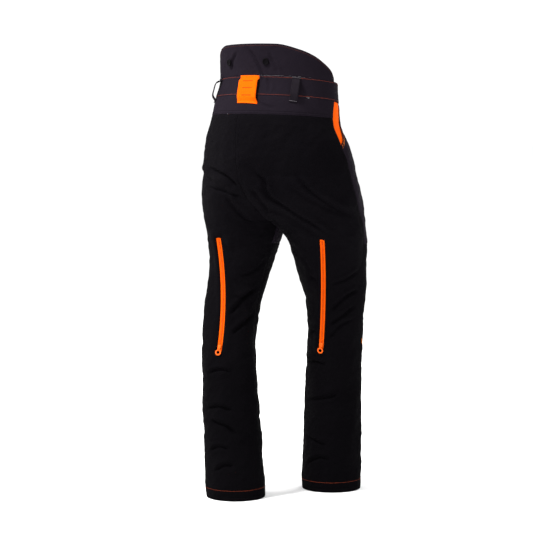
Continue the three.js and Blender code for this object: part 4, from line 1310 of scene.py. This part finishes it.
def turned(profile, origin, across, up, out, count=40):
    """Vertices and faces of a (radius, out) profile turned about the out direction."""
    turn = np.arange(count) * 2 * math.pi / count
    profile = np.array(profile, float)
    ring = np.cos(turn)[:, None] * across + np.sin(turn)[:, None] * up
    points = origin + profile[:, None, :1] * ring[None] + profile[:, None, 1:] * out
    vertices = points.reshape(-1, 3)
    return vertices, ring_faces(vertices, len(profile), count)


# Each button's profile: (radius, out from the cloth), from its shank to the middle of its face.
BUTTON_PROFILE = [(3.0, 0.1), (2.6, 1.0), (2.9, 1.9), (8.0, 2.0), (8.8, 2.25), (9.0, 2.8), (8.9, 3.5),
                  (8.4, 4.15), (7.7, 4.4), (7.0, 4.2), (6.4, 3.7), (5.6, 3.45), (3.4, 3.35), (3.1, 3.2),
                  (2.2, 3.2), (1.9, 3.4), (0.4, 3.42)]
TACK_PROFILE = [(3.0, 0.1), (2.6, 1.0), (2.9, 1.9), (7.9, 2.0), (8.8, 2.3), (9.0, 3.0), (8.6, 3.7),
                (7.6, 4.1), (6.9, 3.9), (6.5, 3.6), (5.0, 3.75), (3.0, 4.0), (1.2, 4.1), (0.3, 4.12)]


def button(name, node, degrees, z, profile, material):
    origin, across, up, out, _ = waist_frame(z, degrees, z + BUTTON_RISE)
    vertices, faces = turned(profile, origin, across, up, out)
    mesh = mesh_from(name, vertices, faces)
    new_object(name, mesh, "garment", material, [node])


REAR_BUTTON_TURN = {"left": 24, "right": 18}
SIDE_BUTTON_TURN = 138
FRONT_BUTTON_TURN = 166
WAIST_BUTTON_TURN = 175
REAR_BUTTON_Z = WAIST_TOP + 35
BAND_BUTTON_Z = WAIST_TOP - 17


def add_buttons():
    for half, side in HALVES.items():
        for place, degrees, z in (("rear", REAR_BUTTON_TURN[half], REAR_BUTTON_Z),
                                  ("side", SIDE_BUTTON_TURN, BAND_BUTTON_Z),
                                  ("front", FRONT_BUTTON_TURN, BAND_BUTTON_Z)):
            node = f"{half}_{place}_brace_button"
            button(node + "_head", node, degrees * side, z, BUTTON_PROFILE, BLACK_PLASTIC)
    button("waist_button_head", "waist_button", WAIST_BUTTON_TURN, (WAIST_LOW + WAIST_TOP) / 2, TACK_PROFILE,
           GUNMETAL)


def waist_line(z, start, end, depth=-0.05):
    degrees = np.linspace(start, end, max(30, int(abs(end - start) * 1.2)))
    points = waist(z + 0 * degrees, degrees, depth)
    return points, unit(waist(z + 0 * degrees, degrees, depth - 1.0) - points)


def add_waist():
    band_piece("waistband_rear_cloth", "waistband_rear", WAIST_TOP + 0.2, WAIST_LOW, -WAIST_SEAM, WAIST_SEAM,
               0, BAND_SHELL, GREY_CANVAS, "grey_canvas")
    band_piece("waistband_lining_cloth", "waistband_lining", WAIST_TOP - 3, WAIST_LOW + 3, -WAIST_SEAM,
               WAIST_SEAM, BAND_LINING_DEPTH, BAND_LINING_THICK, DARK_MESH, "dark_mesh")
    band_rows = (("top", WAIST_TOP - BAND_STITCH_IN), ("low", WAIST_LOW + BAND_STITCH_IN))
    for half, side in HALVES.items():
        end = BAND_END[half]
        band_piece(f"waistband_front_{half}_cloth", f"waistband_front_{half}", WAIST_TOP, WAIST_LOW,
                   FRONT_BAND_START * side, end * side, 0, BAND_SHELL, GREY_CANVAS, "grey_canvas")
        for edge, z in band_rows:
            stitches(f"{half}_front_band_stitch_{edge}", *waist_line(z, 102.5 * side, (end - 3) * side),
                     ORANGE_THREAD)
    band_piece("yoke_cloth", "rear_yoke", WAIST_LOW - SEAM_GAP, YOKE + ROW_GAP, -WAIST_SEAM, WAIST_SEAM, 0,
               SHELL, GREY_CANVAS, "grey_canvas", yoke_reach)
    for edge, z in band_rows:
        stitches("rear_band_stitch_" + edge, *waist_line(z, -99, 99), ORANGE_THREAD)
    for index, z in enumerate((YOKE + 3.2, YOKE + 9)):
        stitches(f"yoke_stitch_{index}", *waist_line(z, -86, 86), DARK_THREAD)
    flap_cloth()
    flap_pad()
    add_belt_loops()
    add_label()
    add_buttons()


# ---------------------------------------------------------------- seams
def seam_row(name, half, heights, beta, material, lift=0.05):
    points = cloth(half, heights, beta, -lift)
    stitches(name, points, outward(half, heights, beta), material)


def turn_for(half, z, gap):
    """The turn, in radians, that lies a gap in from the side seam."""
    turn = 0.2
    seam = side_seam(half, z)
    width = np.linalg.norm(loop_point(half, z, seam + turn) - loop_point(half, z, seam), axis=-1) / turn
    return gap / width


def add_seams():
    for half, side in HALVES.items():
        z = np.linspace(YOKE - 4, 4, 320)
        for index, gap in enumerate((3.6, 8.6)):
            beta = side_seam(half, z) + turn_for(half, z, gap)
            seam_row(f"{half}_side_seam_stitch_{index}", half, z, beta, DARK_THREAD)
        z = np.linspace(YOKE - 4, SEAT - 60, 110)
        for index, gap in enumerate((3.4, 8.2)):
            width = along(HALF_WIDTH, z)
            beta = end_angle(z) - gap / width
            seam_row(f"{half}_seat_seam_stitch_{index}", half, z, beta, DARK_THREAD)
        turn = side_seam(half, HEM_TURN - 2.0) + np.radians(np.linspace(-180, 180, 240))
        points = cloth(half, HEM_TURN - 2.0 + 0 * turn, turn, -0.05)
        stitches(half + "_hem_stitch", points, outward(half, HEM_TURN - 2.0 + 0 * turn, turn), ORANGE_THREAD)
        add_pocket_trim(half)
        for name, level in (("knee_top", KNEE_TOP + 4), ("knee_low", KNEE_BOTTOM - 4)):
            share = np.linspace(0.02, 0.98, 120)
            beta = hip_beta(half, level + 0 * share, share)
            seam_row(f"{half}_{name}_stitch", half, level + 0 * share, beta, DARK_THREAD)
        bartack(half)


BARTACK_LOW = 392
BARTACK_HIGH = 404


def bartack(half):
    """A short, close bar of orange thread beside the side seam, behind the knee."""
    z = np.linspace(BARTACK_LOW, BARTACK_HIGH, 12)
    beta = side_seam(half, z) - 0.03
    points = cloth(half, z, beta, -0.2)
    stitches(half + "_knee_bartack", points, outward(half, z, beta), BRIGHT_THREAD, pitch=1.0, length=1.8,
             width=2.2)


def add_pocket_trim(half):
    """Rows of orange stitching along the slanted pocket mouth and below it."""
    foot, corner = POCKET_MOUTH[:2]
    z = np.linspace(WAIST_LOW - 4, corner[0] + 2, 60)
    for index, gap in enumerate((0.012, 0.03)):
        beta = front_beta(half, z, along(POCKET_MOUTH, z) + gap)
        seam_row(f"{half}_pocket_mouth_stitch_{index}", half, z, beta, ORANGE_THREAD)
    share = np.linspace(0.006, corner[1] + 0.03, 24)
    rise = foot[0] + (corner[0] - foot[0]) * share / corner[1]
    for index, gap in enumerate((4, 9)):
        seam_row(f"{half}_pocket_foot_stitch_{index}", half, rise - gap, front_beta(half, rise - gap, share),
                 BRIGHT_THREAD)


# ---------------------------------------------------------------- build
def build_leg(half):
    back_panel(half)
    front_panel(half, half + "_hip_cloth", half + "_hip_panel", WAIST_LOW - SEAM_GAP, KNEE_TOP + ROW_GAP,
                GREY_CANVAS, "grey_canvas")
    front_panel(half, half + "_knee_cloth", half + "_knee_panel", KNEE_TOP - ROW_GAP, KNEE_BOTTOM + ROW_GAP,
                BLACK_STRETCH, "black_stretch")
    front_panel(half, half + "_shin_cloth", half + "_shin_panel", KNEE_BOTTOM - ROW_GAP, 0, BLACK_STRETCH,
                "black_stretch")
    cut_pad(half)
    inner_layer(half, half + "_pad_lining_cloth", half + "_pad_lining", PAD_TOP, PAD_BOTTOM, LINING_DEPTH,
                LINING_THICK, 0.035, 1.0, DARK_MESH, "dark_mesh")
    inner_layer(half, half + "_pocket_facing_cloth", half + "_pocket_facing", WAIST_LOW - 0.6,
                POCKET_FOOT - 6, FACING_DEPTH, FACING_THICK, 0.004, 0.35, ORANGE_TAPE, "orange_tape")
    inner_layer(half, half + "_pocket_bag_cloth", half + "_pocket_bag", BAG_TOP, SEAT, BAG_DEPTH, BAG_THICK,
                0.03, 0.5, DARK_MESH, "dark_mesh")
    hem_facing(half)
    add_vent(half)


for half_name in HALVES:
    build_leg(half_name)
add_fly()
add_waist()
add_seams()


# ---------------------------------------------------------------- stage
VIEW_AZIMUTH = math.radians(220)
CAMERA_AWAY = 5000
CAMERA_HEIGHT = 976
AIM_HEIGHT = 596
CAMERA_SHIFT = 31
LENS = 130.3
FLOOR_HALF = 60.0       # metres
FLOOR_LEVEL = -0.001
WORLD_STRENGTH = 1.08


def plain_material(name, colour, roughness):
    shader = Shader(name)
    place = shader.place()
    tint = shader.mix(shader.noise(place, 3.0, 3.0), rgb(*colour), rgb(*[c * 0.985 for c in colour]))
    shader.connect(Base_Color=tint, Roughness=roughness, Specular_IOR_Level=0.1)
    return shader.material


def add_stage():
    mesh = bpy.data.meshes.new("studio_floor")
    corners = [(x * FLOOR_HALF, y * FLOOR_HALF, FLOOR_LEVEL) for x, y in ((-1, -1), (1, -1), (1, 1), (-1, 1))]
    mesh.from_pydata(corners, [], [(0, 1, 2, 3)])
    floor = bpy.data.objects.new("studio_floor", mesh)
    bpy.context.scene.collection.objects.link(floor)
    mesh.materials.append(plain_material("pale_floor", (0.95, 0.95, 0.95), 0.9))


def add_light(name, place, aim, size, power):
    data = bpy.data.lights.new(name, "AREA")
    data.shape = "DISK"
    data.size = size
    data.energy = power
    light = bpy.data.objects.new(name, data)
    bpy.context.scene.collection.objects.link(light)
    light.location = place
    direction = Vector(aim) - Vector(place)
    light.rotation_euler = direction.to_track_quat("-Z", "Y").to_euler()


def add_lights():
    world = bpy.data.worlds.new("studio")
    world.use_nodes = True
    background = world.node_tree.nodes["Background"]
    background.inputs["Color"].default_value = (1.0, 1.0, 1.0, 1.0)
    background.inputs["Strength"].default_value = WORLD_STRENGTH
    bpy.context.scene.world = world
    add_light("key", (0.9, 2.2, 4.4), (0, 0, 0.7), 0.9, 330)
    add_light("rim", (3.0, 1.6, 2.4), (0, 0, 0.8), 1.4, 60)
    add_light("front", (0.4, -3.4, 2.4), (0, 0, 0.7), 2.0, 90)


def add_camera():
    back = Vector((math.sin(VIEW_AZIMUTH), -math.cos(VIEW_AZIMUTH), 0))
    right = Vector((math.cos(VIEW_AZIMUTH), math.sin(VIEW_AZIMUTH), 0))
    look = Vector((0, 0, AIM_HEIGHT)) - (back * CAMERA_AWAY + Vector((0, 0, CAMERA_HEIGHT)))
    data = bpy.data.cameras.new("camera")
    data.lens = LENS
    data.sensor_width = 36
    data.clip_end = 100
    camera = bpy.data.objects.new("camera", data)
    camera.location = (back * CAMERA_AWAY + Vector((0, ORIGIN_Y, CAMERA_HEIGHT)) - right * CAMERA_SHIFT) * MM
    camera.rotation_euler = look.to_track_quat("-Z", "Y").to_euler()
    bpy.context.scene.collection.objects.link(camera)
    bpy.context.scene.camera = camera


add_stage()
add_lights()
add_camera()
bpy.context.scene.view_settings.view_transform = "Standard"
